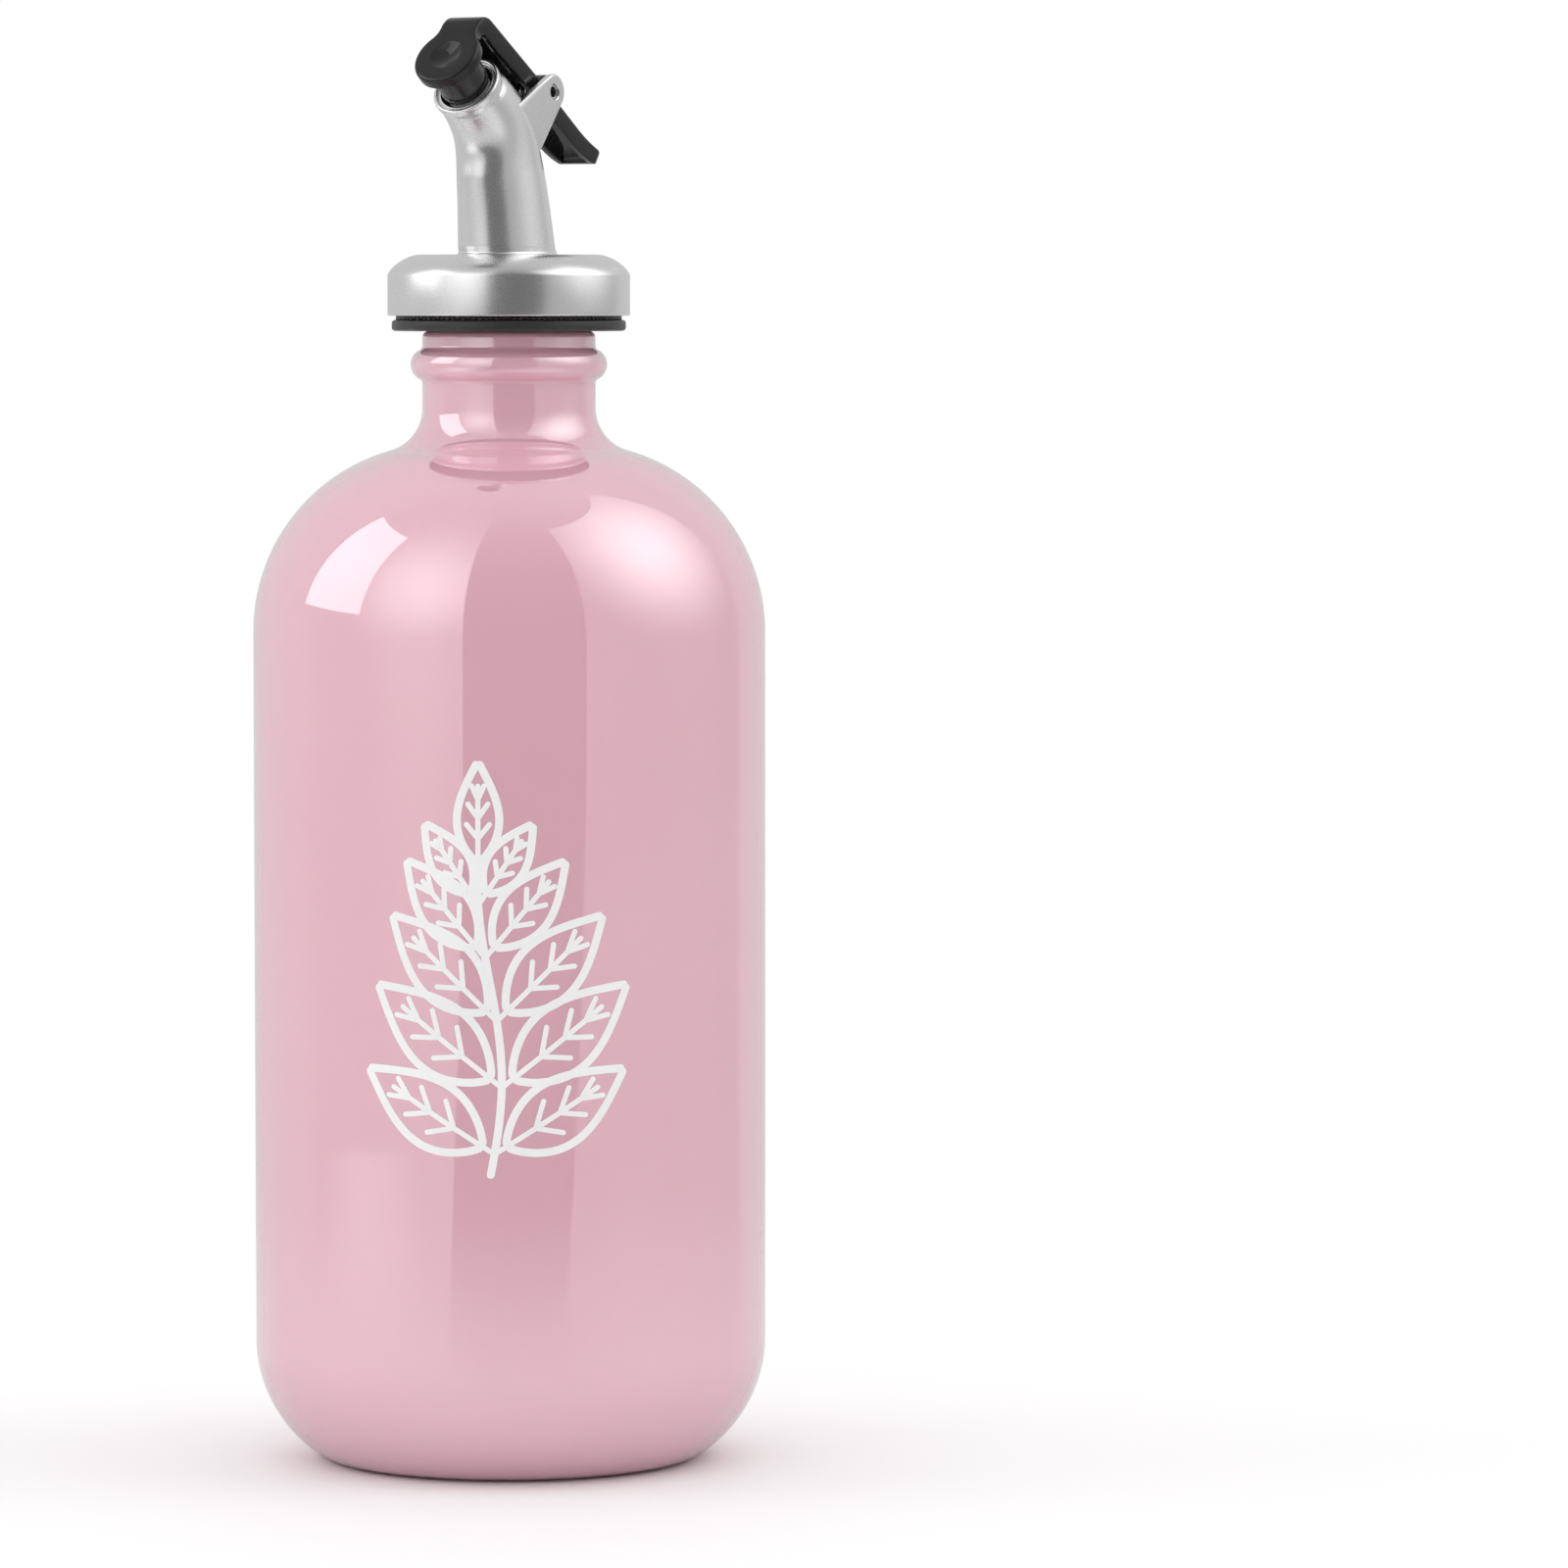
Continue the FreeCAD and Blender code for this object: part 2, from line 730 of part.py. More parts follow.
# The lever's frame has its origin on the pivot; the arm runs forward along -Y and its back faces +Z.
nod = size["mouth_tilt"] - size["lever_tilt"]
mouth_run = size["mouth_reach"] + size["pivot_setback"]
mouth_rise = size["pivot_drop"]
mouth_ahead = mouth_run * cosine(size["lever_tilt"]) + mouth_rise * sine(size["lever_tilt"])
mouth_above = mouth_rise * cosine(size["lever_tilt"]) - mouth_run * sine(size["lever_tilt"])
face_ahead = mouth_ahead + size["head_gap"] * cosine(nod)
face_above = mouth_above + size["head_gap"] * sine(nod)
arm_back = size["arm_rise"]
arm_under = arm_back - size["arm_depth"]
bend_touch = size["bend_radius"] * tangent((right_angle - nod) / 2)
corner_up = (arm_back - face_above) / cosine(nod)


def on_face(along, inward):
    # A point on the head's side view: along the face from its middle, and inward from the face.
    ahead = face_ahead - along * sine(nod) - inward * cosine(nod)
    above = face_above + along * cosine(nod) - inward * sine(nod)
    return (-ahead, above)


def touching_radius(run, rise):
    # The radius of an arc that starts level and ends a run further on and a rise higher.
    return (square(run) + square(rise)) / (rise * 2)


def lever_arm(body):
    # The arm from the side: tail with an upward curl, straight back, bend, and a stub of the head.
    curl_back = size["tail_length"] - size["curl_length"]
    tip = arm_back + size["tail_curl"]
    tip_under = tip - size["tail_depth"]
    stub = (arm_under - size["arm_depth"] - face_above) / cosine(nod)
    inner_along = (arm_under - face_above + size["head_thickness"] * sine(nod)) / cosine(nod)
    outline = new_sketch(body, "arm_outline", "YZ_Plane")
    draw(outline, [
        (curl_back, arm_back, touching_radius(size["curl_length"], tip - arm_back), 1),
        (size["tail_length"], tip),
        (size["tail_length"], tip_under, touching_radius(size["curl_length"], tip_under - arm_under), -1),
        (curl_back, arm_under),
        on_face(inner_along, size["head_thickness"]),
        on_face(stub, size["head_thickness"]),
        on_face(stub, zero),
        on_face(corner_up - bend_touch, zero) + (size["bend_radius"], -1),
        (bend_touch - (face_ahead - corner_up * sine(nod)), arm_back),
    ])
    pad(body, outline, "arm", arm_width, both_ways=True)


def on_back_edge(edge, side, middle):
    # True for an edge along one side of the arm that lies above the arm's middle.
    box = edge.BoundBox
    lengthwise = box.XLength < Part.Precision.approximation() < box.YLength
    outer = abs(abs(box.Center.x) - side) < Part.Precision.approximation()
    return lengthwise and outer and box.Center.z > middle


def lever_head(body):
    # The head from the front: a disc that a waist joins to the arm.
    edge = mouth_radius - size["head_inset"]
    neck = arm_width / 2
    neck_top = corner_up - bend_touch
    crossing = root(square(edge) - square(neck))
    waist = crossing + (neck_top - crossing) * waist_share
    hollow = (square(waist) - square(crossing)) / ((edge - neck) * 2)
    share = edge / (edge + hollow)
    meet_x = (neck + hollow) * share
    meet_y = waist * share
    shift = (zero, face_above, face_ahead)
    outline = new_sketch(body, "head_outline", "XZ_Plane", shift, Vector(-1, 0, 0), nod)
    draw(outline, [
        (neck, neck_top),
        (-neck, neck_top),
        (-neck, waist, hollow, -1),
        (-meet_x, meet_y, edge, 1),
        (zero, -edge, edge, 1),
        (meet_x, meet_y, hollow, -1),
        (neck, waist),
    ])
    pad(body, outline, "head", size["head_thickness"], backward=True)
    side = neck.value
    middle = (arm_back - size["arm_depth"] / 2).value
    round_edges(body, "outer_edge", size["edge_round"], lambda edge: on_back_edge(edge, side, middle))
    dimple = new_sketch(body, "dimple_ring", "XZ_Plane", shift, Vector(-1, 0, 0), nod)
    ring(dimple, zero, zero, half("dimple_diameter"))
    pocket(body, dimple, "dimple", size["dimple_depth"])
    inner = on_face(zero, size["head_thickness"])
    inner_shift = (zero, inner[1], -inner[0])
    stud = new_sketch(body, "stud_ring", "XZ_Plane", inner_shift, Vector(-1, 0, 0), nod)
    ring(stud, zero, zero, half("stud_diameter"))
    pocket(body, stud, "stud_hole", size["stud_depth"], backward=True)


def lever():
    body = new_body("lever", -size["pivot_setback"], cap_top + pivot_height, -size["lever_tilt"])
    lever_arm(body)
    lever_head(body)
    hub = new_sketch(body, "hub_ring", "YZ_Plane")
    ring(hub, zero, zero, hub_radius)
    hub_width = ear_gap - size["hub_play"] * 2
    pad(body, hub, "hub", hub_width, both_ways=True)
    front = on_face(zero, size["head_thickness"] + size["channel_rim"])
    back = size["tail_length"] - size["channel_rim"]
    floor = arm_back - size["arm_skin"]
    room = root(square(room_radius) - square(floor))
    below = -(hub_radius + size["overrun"])
    channel = new_sketch(body, "channel_outline", "YZ_Plane")
    draw(channel, [
        (front[0], floor),
        (front[0], below),
        (back, below),
        (back, floor),
        (room, floor, room_radius, 1),
        (-room, floor),
    ])
    pocket(body, channel, "channel", channel_width, both_ways=True)
    bore = new_sketch(body, "pin_bore", "YZ_Plane")
    ring(bore, zero, zero, pin_radius + size["pin_play"])
    pocket(body, bore, "pin_bore_cut", hub_width + size["overrun"], both_ways=True)
    return body


def lever_plug():
    # A stud in the head, a rounded step, and a tip that ends in a shallow dome inside the mouth.
    body = new_body("lever_plug", size["mouth_reach"], cap_top + size["mouth_height"], mouth_lean)
    seat = size["head_gap"] - size["head_thickness"]
    stud = half("stud_diameter")
    step = mouth_radius - size["plug_step_inset"]
    turned = size["plug_step_round"]
    step_foot = seat - size["plug_step_height"]
    tip = mouth_bore - size["tip_room"]
    dome = size["dome_radius"]
    tip_end = -size["tip_insertion"]
    dome_end = tip_end - dome + root(square(dome) - square(tip))
    outline = new_sketch(body, "plug_outline", "XZ_Plane")
    draw(outline, [
        (zero, seat + size["stud_depth"]),
        (zero, dome_end, dome, 1),
        (tip, tip_end),
        (tip, step_foot),
        (step - turned, step_foot, turned, 1),
        (step, step_foot + turned),
        (step, seat),
        (stud, seat),
        (stud, seat + size["stud_depth"]),
    ])
    revolve(body, outline, "plug_turned")
    return body


def arc_from(start, direction, finish):
    # The arc that leaves start along a direction and ends at finish, and its direction there.
    chord = finish - start
    along = chord.dot(direction)
    side = chord - direction * along
    if side.Length < chord.Length * Part.Precision.confusion():
        return Part.LineSegment(start, finish), direction
    across = side.Length
    side.normalize()
    radius = chord.dot(chord) / (across * 2)
    sweep_angle = 2 * math.atan2(across, along)
    centre = start + side * radius
    halfway = sweep_angle / 2
    middle = centre - side * radius * math.cos(halfway) + direction * radius * math.sin(halfway)
    leaving = direction * math.cos(sweep_angle) + side * math.sin(sweep_angle)
    return Part.Arc(start, middle, finish), leaving


def biarc(start, start_way, finish, finish_way):
    # Two arcs that join two points and keep both directions.
    chord = finish - start
    ways = start_way + finish_way
    bend = 2 * (1 - start_way.dot(finish_way))
    reach = (math.sqrt(chord.dot(ways) ** 2 + bend * chord.dot(chord)) - chord.dot(ways)) / bend
    middle = (start + start_way * reach + finish - finish_way * reach) / 2
    first, way = arc_from(start, start_way, middle)
    second, way = arc_from(middle, way, finish)
    return [first, second]


def coil_point(angle, radius, rise):
    return Vector(rise * angle, radius * math.cos(angle), radius * math.sin(angle))


def coil_way(angle, radius, rise):
    return Vector(rise, -radius * math.sin(angle), radius * math.cos(angle)).normalize()


def push_lift(radius, wire):
    # The slope at which the pushing leg ends just under the skin of the arm.
    leg = sizes["push_leg"]
    drop = sizes["arm_rise"] - sizes["arm_skin"] - sizes["spring_contact"] - wire
    return math.atan2(radius, leg) + math.asin(drop / math.hypot(leg, radius))


def rest_length(start, way, wire, shell, placement):
    # How far the resting leg runs from the turns before its end comes close to the spout's back.
    near = placement.multVec(start)
    far = placement.multVec(start - way * sizes["push_leg"])
    crossings = Part.makeLine(near, far).common(shell).Vertexes
    reach = min((vertex.Point.distanceToPoint(near) for vertex in crossings), default=sizes["push_leg"])
    return reach - wire * 2


def return_spring():
    # A torsion spring: one leg rests on the back of the spout, the turns lie on the pin, the other
    # leg lifts the tail from below.
    wire = sizes["wire_diameter"] / 2
    radius = sizes["pin_diameter"] / 2 + sizes["spring_play"] + wire
    rise = sizes["spring_pitch"] / (2 * math.pi)
    first = math.radians(sizes["lever_tilt"] + sizes["spring_lean"] - right_angle.value)
    last = push_lift(radius, wire) + math.pi * (2 * spring_turns - 1 / 2)
    steps = quarters_per_turn * spring_turns
    angles = [first + (last - first) * step / steps for step in range(steps + 1)]
    middle = Vector(rise * (first + last) / 2, 0, 0)
    points = [coil_point(angle, radius, rise) - middle for angle in angles]
    ways = [coil_way(angle, radius, rise) for angle in angles]
    ways[0] = coil_way(first, radius, 0)
    ways[-1] = coil_way(last, radius, 0)
    pivot = Vector(0, sizes["pivot_setback"], (cap_top + pivot_height).value)
    placement = tilted(pivot, Vector(1, 0, 0), -sizes["lever_tilt"])
    shell = doc.getObject("spout_shell").Shape
    rest_end = points[0] - ways[0] * rest_length(points[0], ways[0], wire, shell, placement)
    push_end = points[-1] + ways[-1] * sizes["push_leg"]
    curves = [Part.LineSegment(rest_end, points[0])]
    for step in range(steps):
        curves += biarc(points[step], ways[step], points[step + 1], ways[step + 1])
    curves.append(Part.LineSegment(points[-1], push_end))
    path = Part.Wire([curve.toShape() for curve in curves])
    profile = Part.Wire([Part.Circle(rest_end, ways[0], wire).toShape()])
    tube = path.makePipeShell([profile], True, False)
    print("least gap of the spring to itself", round(spring_gap(curves, wire), 2))
    feature = doc.addObject("Part::Feature", "return_spring")
    feature.Label = "return_spring"
    feature.Shape = tube
    feature.Placement = placement
    bind(feature, "Placement.Base.y", size["pivot_setback"])
    bind(feature, "Placement.Base.z", cap_top + pivot_height)
    bind(feature, "Placement.Rotation.Angle", -size["lever_tilt"])
    doc.recompute()
    return feature


def spring_gap(curves, wire):
    # The least distance between parts of the wire that lie more than half a turn apart, less its thickness.
    samples = []
    travelled = []
    distance = 0.0
    for curve in curves:
        edge = curve.toShape()
        for point in edge.discretize(Number=quarters_per_turn * 2)[:-1]:
            samples.append(point)
        distance = distance + edge.Length
    for before, after in zip(samples, samples[1:]):
        travelled.append((after - before).Length)
    least = distance
    for i, start in enumerate(samples):
        gone = 0.0
        for j in range(i + 1, len(samples)):
            gone = gone + travelled[j - 1]
            apart = (samples[j] - start).Length
            if gone > apart * math.pi / 2:
                least = min(least, apart)
    return least - wire * 2


makers = [
    glass_bottle, stopper_sleeve, pour_core, vent_tube, spout_shell,
    spout_liner, hinge_pin, return_spring, lever, lever_plug,
]
pieces = [maker() for maker in makers]
doc.recompute()

for item in doc.Objects:
    if "Invalid" in item.State or "Error" in item.State:
        raise RuntimeError(item.Name + " did not build")

os.makedirs("parts", exist_ok=True)
for piece in pieces:
    shape = piece.Shape
    if shape.isNull() or not shape.isValid() or len(shape.Solids) != 1:
        raise RuntimeError(piece.Label + " is not one sound solid")
    shape.exportStep("parts/" + piece.Label + ".step")
    print(piece.Label, round(shape.Volume), "cubic millimetres")
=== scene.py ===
import math

import bmesh
import bpy
import numpy as np
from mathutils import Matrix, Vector


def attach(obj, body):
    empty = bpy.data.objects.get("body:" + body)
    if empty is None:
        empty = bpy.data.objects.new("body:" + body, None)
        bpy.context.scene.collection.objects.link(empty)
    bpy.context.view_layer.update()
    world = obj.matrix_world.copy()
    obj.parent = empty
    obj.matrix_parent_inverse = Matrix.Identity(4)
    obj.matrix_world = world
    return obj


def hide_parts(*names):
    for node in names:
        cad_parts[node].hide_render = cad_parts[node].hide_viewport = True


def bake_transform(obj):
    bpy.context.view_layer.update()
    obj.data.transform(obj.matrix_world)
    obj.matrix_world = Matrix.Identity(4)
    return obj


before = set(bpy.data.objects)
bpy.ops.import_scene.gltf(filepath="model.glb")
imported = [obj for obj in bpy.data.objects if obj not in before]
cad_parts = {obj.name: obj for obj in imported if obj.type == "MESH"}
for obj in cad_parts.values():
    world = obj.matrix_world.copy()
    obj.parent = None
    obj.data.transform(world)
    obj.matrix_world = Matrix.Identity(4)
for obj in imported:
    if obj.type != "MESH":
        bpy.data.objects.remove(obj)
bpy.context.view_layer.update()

mm = 0.001
skinWeld, copyWeld = 2e-7, 1e-6   # how near points are merged, in metres
scene = bpy.context.scene
print("frame loaded:", len(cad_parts), "nodes")


# quads of a grid of rows and columns, either of which may close on itself
def gridQuads(rows, columns, ringRows, ringColumns):
    down = np.arange(rows if ringRows else rows - 1)
    across = np.arange(columns if ringColumns else columns - 1)
    i, j = np.meshgrid(down, across, indexing="ij")
    below, beside = (i + 1) % rows, (j + 1) % columns
    corners = [i * columns + j, i * columns + beside, below * columns + beside, below * columns + j]
    return np.stack(corners, -1).reshape(-1, 4)


# closed skin of a grid whose columns run round; the sign of its volume decides which way its faces turn
def skin(grid, ringRows=False):
    points = grid.reshape(-1, 3)
    quads = gridQuads(grid.shape[0], grid.shape[1], ringRows, True)
    a, b, c, d = (points[quads[:, k]] for k in range(4))
    volume = np.sum(a * np.cross(b, c)) + np.sum(a * np.cross(c, d))
    return points, quads if volume > 0 else quads[:, ::-1]


# one mesh from several skins, in millimetres, with seams and poles welded
def makeMesh(name, skins, sharp):
    starts = np.cumsum([0] + [len(points) for points, quads in skins])
    points = np.concatenate([points for points, quads in skins]) * mm
    quads = np.concatenate([quads + start for (own, quads), start in zip(skins, starts)])
    mesh = bpy.data.meshes.new(name)
    mesh.vertices.add(len(points))
    mesh.vertices.foreach_set("co", points.ravel())
    mesh.loops.add(quads.size)
    mesh.loops.foreach_set("vertex_index", quads.ravel())
    mesh.polygons.add(len(quads))
    mesh.polygons.foreach_set("loop_start", np.arange(0, quads.size, 4))
    mesh.update(calc_edges=True)
    finishMesh(mesh, skinWeld, sharp)
    return mesh


# merges doubled points and shades smooth, apart from edges sharper than an angle in degrees
def finishMesh(mesh, near, sharp):
    work = bmesh.new()
    work.from_mesh(mesh)
    bmesh.ops.remove_doubles(work, verts=work.verts, dist=near)
    work.to_mesh(mesh)
    work.free()
    mesh.shade_smooth()
    mesh.set_sharp_from_angle(angle=math.radians(sharp))


# object at the origin, with its place in its mesh
def makePiece(name, mesh, material):
    mesh.materials.clear()
    mesh.materials.append(material)
    piece = bpy.data.objects.new(name, mesh)
    scene.collection.objects.link(piece)
    return piece


# merged copy of a CAD node, for the pieces whose exact CAD form is kept
def smoothCopy(name, node, material, sharp):
    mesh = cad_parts[node].data.copy()
    mesh.name = name
    finishMesh(mesh, copyWeld, sharp)
    return makePiece(name, mesh, material)


# points of an arc about a centre, from one angle to another in degrees
def arc(centre, radius, first, last, steps):
    angle = np.radians(np.linspace(first, last, steps + 1))
    return np.stack([centre[0] + radius * np.cos(angle), centre[1] + radius * np.sin(angle)], -1)


# line through corners given as x, y, radius; each corner is cut by the arc tangent to both its sides
def roundedLine(corners, closed=False, steps=6):
    places = np.array([corner[:2] for corner in corners], float)
    line = []
    for index, corner in enumerate(corners):
        here, radius = places[index], corner[2]
        if radius == 0 or (not closed and index in (0, len(corners) - 1)):
            line.append(here[None])
            continue
        before = places[index - 1] - here
        after = places[(index + 1) % len(corners)] - here
        before, after = before / np.linalg.norm(before), after / np.linalg.norm(after)
        half = math.acos(np.clip(before @ after, -1, 1)) / 2
        middle = before + after
        centre = here + middle / np.linalg.norm(middle) * radius / math.sin(half)
        start = here + before * radius / math.tan(half) - centre
        end = here + after * radius / math.tan(half) - centre
        first = math.degrees(math.atan2(start[1], start[0]))
        sweep = math.degrees(math.atan2(end[1], end[0])) - first
        line.append(arc(centre, radius, first, first + (sweep + 180) % 360 - 180, steps))
    return np.concatenate(line)


# surface of revolution: radius and height of the profile turned about the upright axis
def turned(profile, turns):
    angle = np.linspace(0, 2 * np.pi, turns, endpoint=False)
    radius, height = profile[:, :1], profile[:, 1:]
    return np.stack([radius * np.cos(angle), radius * np.sin(angle), height + 0 * angle], -1)


# local x, y, height set at a centre in the plane of symmetry and leaned towards the front
def leaned(grid, centre, lean):
    tilt = math.radians(lean)
    x, y, height = grid[..., 0], grid[..., 1], grid[..., 2]
    front = centre[0] + y * math.cos(tilt) - height * math.sin(tilt)
    up = centre[1] + y * math.sin(tilt) + height * math.cos(tilt)
    return np.stack([x, front, up], -1)


# circles along a path: a row has the centre's y and z, its lean in degrees, its radius and how far it is
# drawn out to an egg, whose width, front and back are three stretches of that radius
def circles(rows, turns, egg=(0.0, 0.0, 0.0)):
    y, z, lean, radius, drawn = (rows[:, k:k + 1] for k in range(5))
    angle = np.linspace(0, 2 * np.pi, turns, endpoint=False)
    tilt = np.radians(lean)
    across = radius * (1 + egg[0] * drawn) * np.cos(angle)
    along = radius * (1 + np.where(np.sin(angle) < 0, egg[1], egg[2]) * drawn) * np.sin(angle)
    return np.stack([across, y + along * np.cos(tilt), z + along * np.sin(tilt)], -1)


# natural cubic spline through the stations of a table, read at given knot values
def spline(knots, table, at):
    count, step = len(knots), np.diff(knots)
    rule, right = np.eye(count), np.zeros((count, table.shape[1]))
    for k in range(1, count - 1):
        rule[k, k - 1:k + 2] = step[k - 1], 2 * (step[k - 1] + step[k]), step[k]
        right[k] = 6 * ((table[k + 1] - table[k]) / step[k] - (table[k] - table[k - 1]) / step[k - 1])
    bend = np.linalg.solve(rule, right)
    k = np.clip(np.searchsorted(knots, at) - 1, 0, count - 2)
    span = step[k][:, None]
    b = (at - knots[k])[:, None] / span
    a = 1 - b
    curve = ((a ** 3 - a) * bend[k] + (b ** 3 - b) * bend[k + 1]) * span ** 2 / 6
    return a * table[k] + b * table[k + 1] + curve


# radius, for each angle, of the hull round a disc at the origin and some corner points
def hullRadius(angle, disc, corners, tries=1440, grazing=0.02, beyond=1e3):
    facing = np.linspace(0, 2 * np.pi, tries, endpoint=False)
    reach = np.max(corners @ np.stack([np.cos(facing), np.sin(facing)]), axis=0)
    reach = np.maximum(reach, disc)
    toward = np.cos(angle[:, None] - facing)
    return np.min(np.where(toward > grazing, reach / np.maximum(toward, grazing), beyond), axis=1)


# radius, for each angle, of a star-shaped outline about the origin
def polarRadius(angle, outline):
    own = np.arctan2(outline[:, 1], outline[:, 0]) % (2 * np.pi)
    order = np.argsort(own)
    radius = np.hypot(outline[:, 0], outline[:, 1])[order]
    return np.interp(angle % (2 * np.pi), own[order], radius, period=2 * np.pi)


grainRule = {"Tone": {"scale": 40.0, "detail": 3.0}, "Grain": {"scale": 2500.0, "detail": 2.0}}
noiseRange = (0.3, 0.7)    # stretch of the noise that is used
edgeRange = (0.52, 0.60)   # pointiness at which wear begins and is full


# node group that gives a slow tone and a fine grain: noise on object coordinates, stretched over its middle range
def makeGrainGroup():
    group = bpy.data.node_groups.new("surfaceGrain", "ShaderNodeTree")
    nodes, links = group.nodes, group.links
    for label, rule in grainRule.items():
        scale = group.interface.new_socket(label + " Scale", in_out="INPUT", socket_type="NodeSocketFloat")
        scale.default_value = rule["scale"]
        group.interface.new_socket(label, in_out="OUTPUT", socket_type="NodeSocketFloat")
    source, result = nodes.new("NodeGroupInput"), nodes.new("NodeGroupOutput")
    place = nodes.new("ShaderNodeTexCoord")
    for label, rule in grainRule.items():
        noise = nodes.new("ShaderNodeTexNoise")
        noise.inputs["Detail"].default_value = rule["detail"]
        links.new(place.outputs["Object"], noise.inputs["Vector"])
        links.new(source.outputs[label + " Scale"], noise.inputs["Scale"])
        spread = nodes.new("ShaderNodeMapRange")
        spread.inputs["From Min"].default_value, spread.inputs["From Max"].default_value = noiseRange
        links.new(noise.outputs["Fac"], spread.inputs["Value"])
        links.new(spread.outputs["Result"], result.inputs[label])
    return group


# node group that marks the outer edges, broken up by the slow tone
def makeEdgeGroup():
    group = bpy.data.node_groups.new("edgeWear", "ShaderNodeTree")
    group.interface.new_socket("Tone", in_out="INPUT", socket_type="NodeSocketFloat")
    group.interface.new_socket("Edge", in_out="OUTPUT", socket_type="NodeSocketFloat")
    nodes, links = group.nodes, group.links
    source, result = nodes.new("NodeGroupInput"), nodes.new("NodeGroupOutput")
    form = nodes.new("ShaderNodeNewGeometry")
    spread = nodes.new("ShaderNodeMapRange")
    spread.inputs["From Min"].default_value, spread.inputs["From Max"].default_value = edgeRange
    links.new(form.outputs["Pointiness"], spread.inputs["Value"])
    broken = nodes.new("ShaderNodeMath")
    broken.operation = "MULTIPLY"
    links.new(spread.outputs["Result"], broken.inputs[0])
    links.new(source.outputs["Tone"], broken.inputs[1])
    links.new(broken.outputs["Value"], result.inputs["Edge"])
    return group


grainGroup, edgeGroup = makeGrainGroup(), makeEdgeGroup()


# material whose colour and roughness run between two values with the tone and the grain; a colour may be given
# for worn edges, and the bump is the grain's height in millimetres
def makeMaterial(name, dark, light, rough, metallic=0.0, edge=None, scales=(40, 2500), grainIn=0.0, bump=0.0,
                 coat=0.0, coatIor=1.5, ior=1.5, through=0.0):
    material = bpy.data.materials.new(name)
    material.use_nodes = True
    nodes, links = material.node_tree.nodes, material.node_tree.links
    shader = nodes["Principled BSDF"]
    shader.inputs["Metallic"].default_value = metallic
    shader.inputs["Coat Weight"].default_value = coat
    shader.inputs["Coat IOR"].default_value = coatIor
    shader.inputs["IOR"].default_value = ior
    shader.inputs["Transmission Weight"].default_value = through
    grain = nodes.new("ShaderNodeGroup")
    grain.node_tree = grainGroup
    for label, value in zip(grainRule, scales):
        grain.inputs[label + " Scale"].default_value = value
    tint = nodes.new("ShaderNodeMix")
    tint.data_type = "RGBA"
    tint.inputs["A"].default_value = (*dark, 1)
    tint.inputs["B"].default_value = (*light, 1)
    blendIn = nodes.new("ShaderNodeMix")
    blendIn.inputs["Factor"].default_value = grainIn
    links.new(grain.outputs["Tone"], blendIn.inputs["A"])
    links.new(grain.outputs["Grain"], blendIn.inputs["B"])
    links.new(blendIn.outputs["Result"], tint.inputs["Factor"])
    colour = tint.outputs["Result"]
    if edge:
        worn = nodes.new("ShaderNodeGroup")
        worn.node_tree = edgeGroup
        links.new(grain.outputs["Tone"], worn.inputs["Tone"])
        lifted = nodes.new("ShaderNodeMix")
        lifted.data_type = "RGBA"
        lifted.inputs["B"].default_value = (*edge, 1)
        links.new(worn.outputs["Edge"], lifted.inputs["Factor"])
        links.new(colour, lifted.inputs["A"])
        colour = lifted.outputs["Result"]
    links.new(colour, shader.inputs["Base Color"])
    gloss = nodes.new("ShaderNodeMapRange")
    gloss.inputs["To Min"].default_value, gloss.inputs["To Max"].default_value = rough
    links.new(blendIn.outputs["Result"], gloss.inputs["Value"])
    links.new(gloss.outputs["Result"], shader.inputs["Roughness"])
    if bump:
        relief = nodes.new("ShaderNodeBump")
        relief.inputs["Strength"].default_value = 1.0
        relief.inputs["Distance"].default_value = bump * mm
        links.new(grain.outputs["Grain"], relief.inputs["Height"])
        links.new(relief.outputs["Normal"], shader.inputs["Normal"])
    return material


glassLook = makeMaterial("pinkGlass", (0.97, 0.535, 0.645), (0.99, 0.575, 0.685), (0.02, 0.05),
                         coat=1.0, coatIor=2.6, through=0.3, scales=(14, 700))
rubberLook = makeMaterial("blackRubber", (0.012, 0.012, 0.012), (0.035, 0.035, 0.034), (0.38, 0.52),
                          edge=(0.16, 0.16, 0.16), scales=(90, 2600), grainIn=0.4, bump=0.004)
coreLook = makeMaterial("blackPlastic", (0.012, 0.012, 0.012), (0.03, 0.03, 0.03), (0.30, 0.42),
                        scales=(120, 2600), grainIn=0.3)
ventLook = makeMaterial("palePlastic", (0.74, 0.74, 0.70), (0.84, 0.84, 0.81), (0.30, 0.40))
silverLook = makeMaterial("satinSilver", (0.73, 0.73, 0.735), (0.81, 0.81, 0.81), (0.24, 0.30), metallic=1.0,
                          edge=(0.90, 0.90, 0.90), scales=(60, 4200), grainIn=0.5, bump=0.0005)
linerLook = makeMaterial("greyPlastic", (0.50, 0.50, 0.505), (0.62, 0.62, 0.625), (0.22, 0.30),
                         scales=(150, 2500))
steelLook = makeMaterial("steel", (0.48, 0.48, 0.48), (0.66, 0.66, 0.66), (0.22, 0.34), metallic=1.0,
                         scales=(300, 5200), grainIn=0.6)
leverLook = makeMaterial("glossBlack", (0.007, 0.007, 0.008), (0.015, 0.015, 0.016), (0.06, 0.12), ior=1.38,
                         scales=(70, 2600), grainIn=0.15)
plugLook = makeMaterial("plugRubber", (0.007, 0.007, 0.007), (0.016, 0.016, 0.016), (0.10, 0.18),
                        scales=(120, 3000), grainIn=0.15)
printLook = makeMaterial("whitePrint", (0.80, 0.80, 0.81), (0.87, 0.87, 0.87), (0.30, 0.42),
                         scales=(70, 1500), grainIn=0.3)
print("materials made")

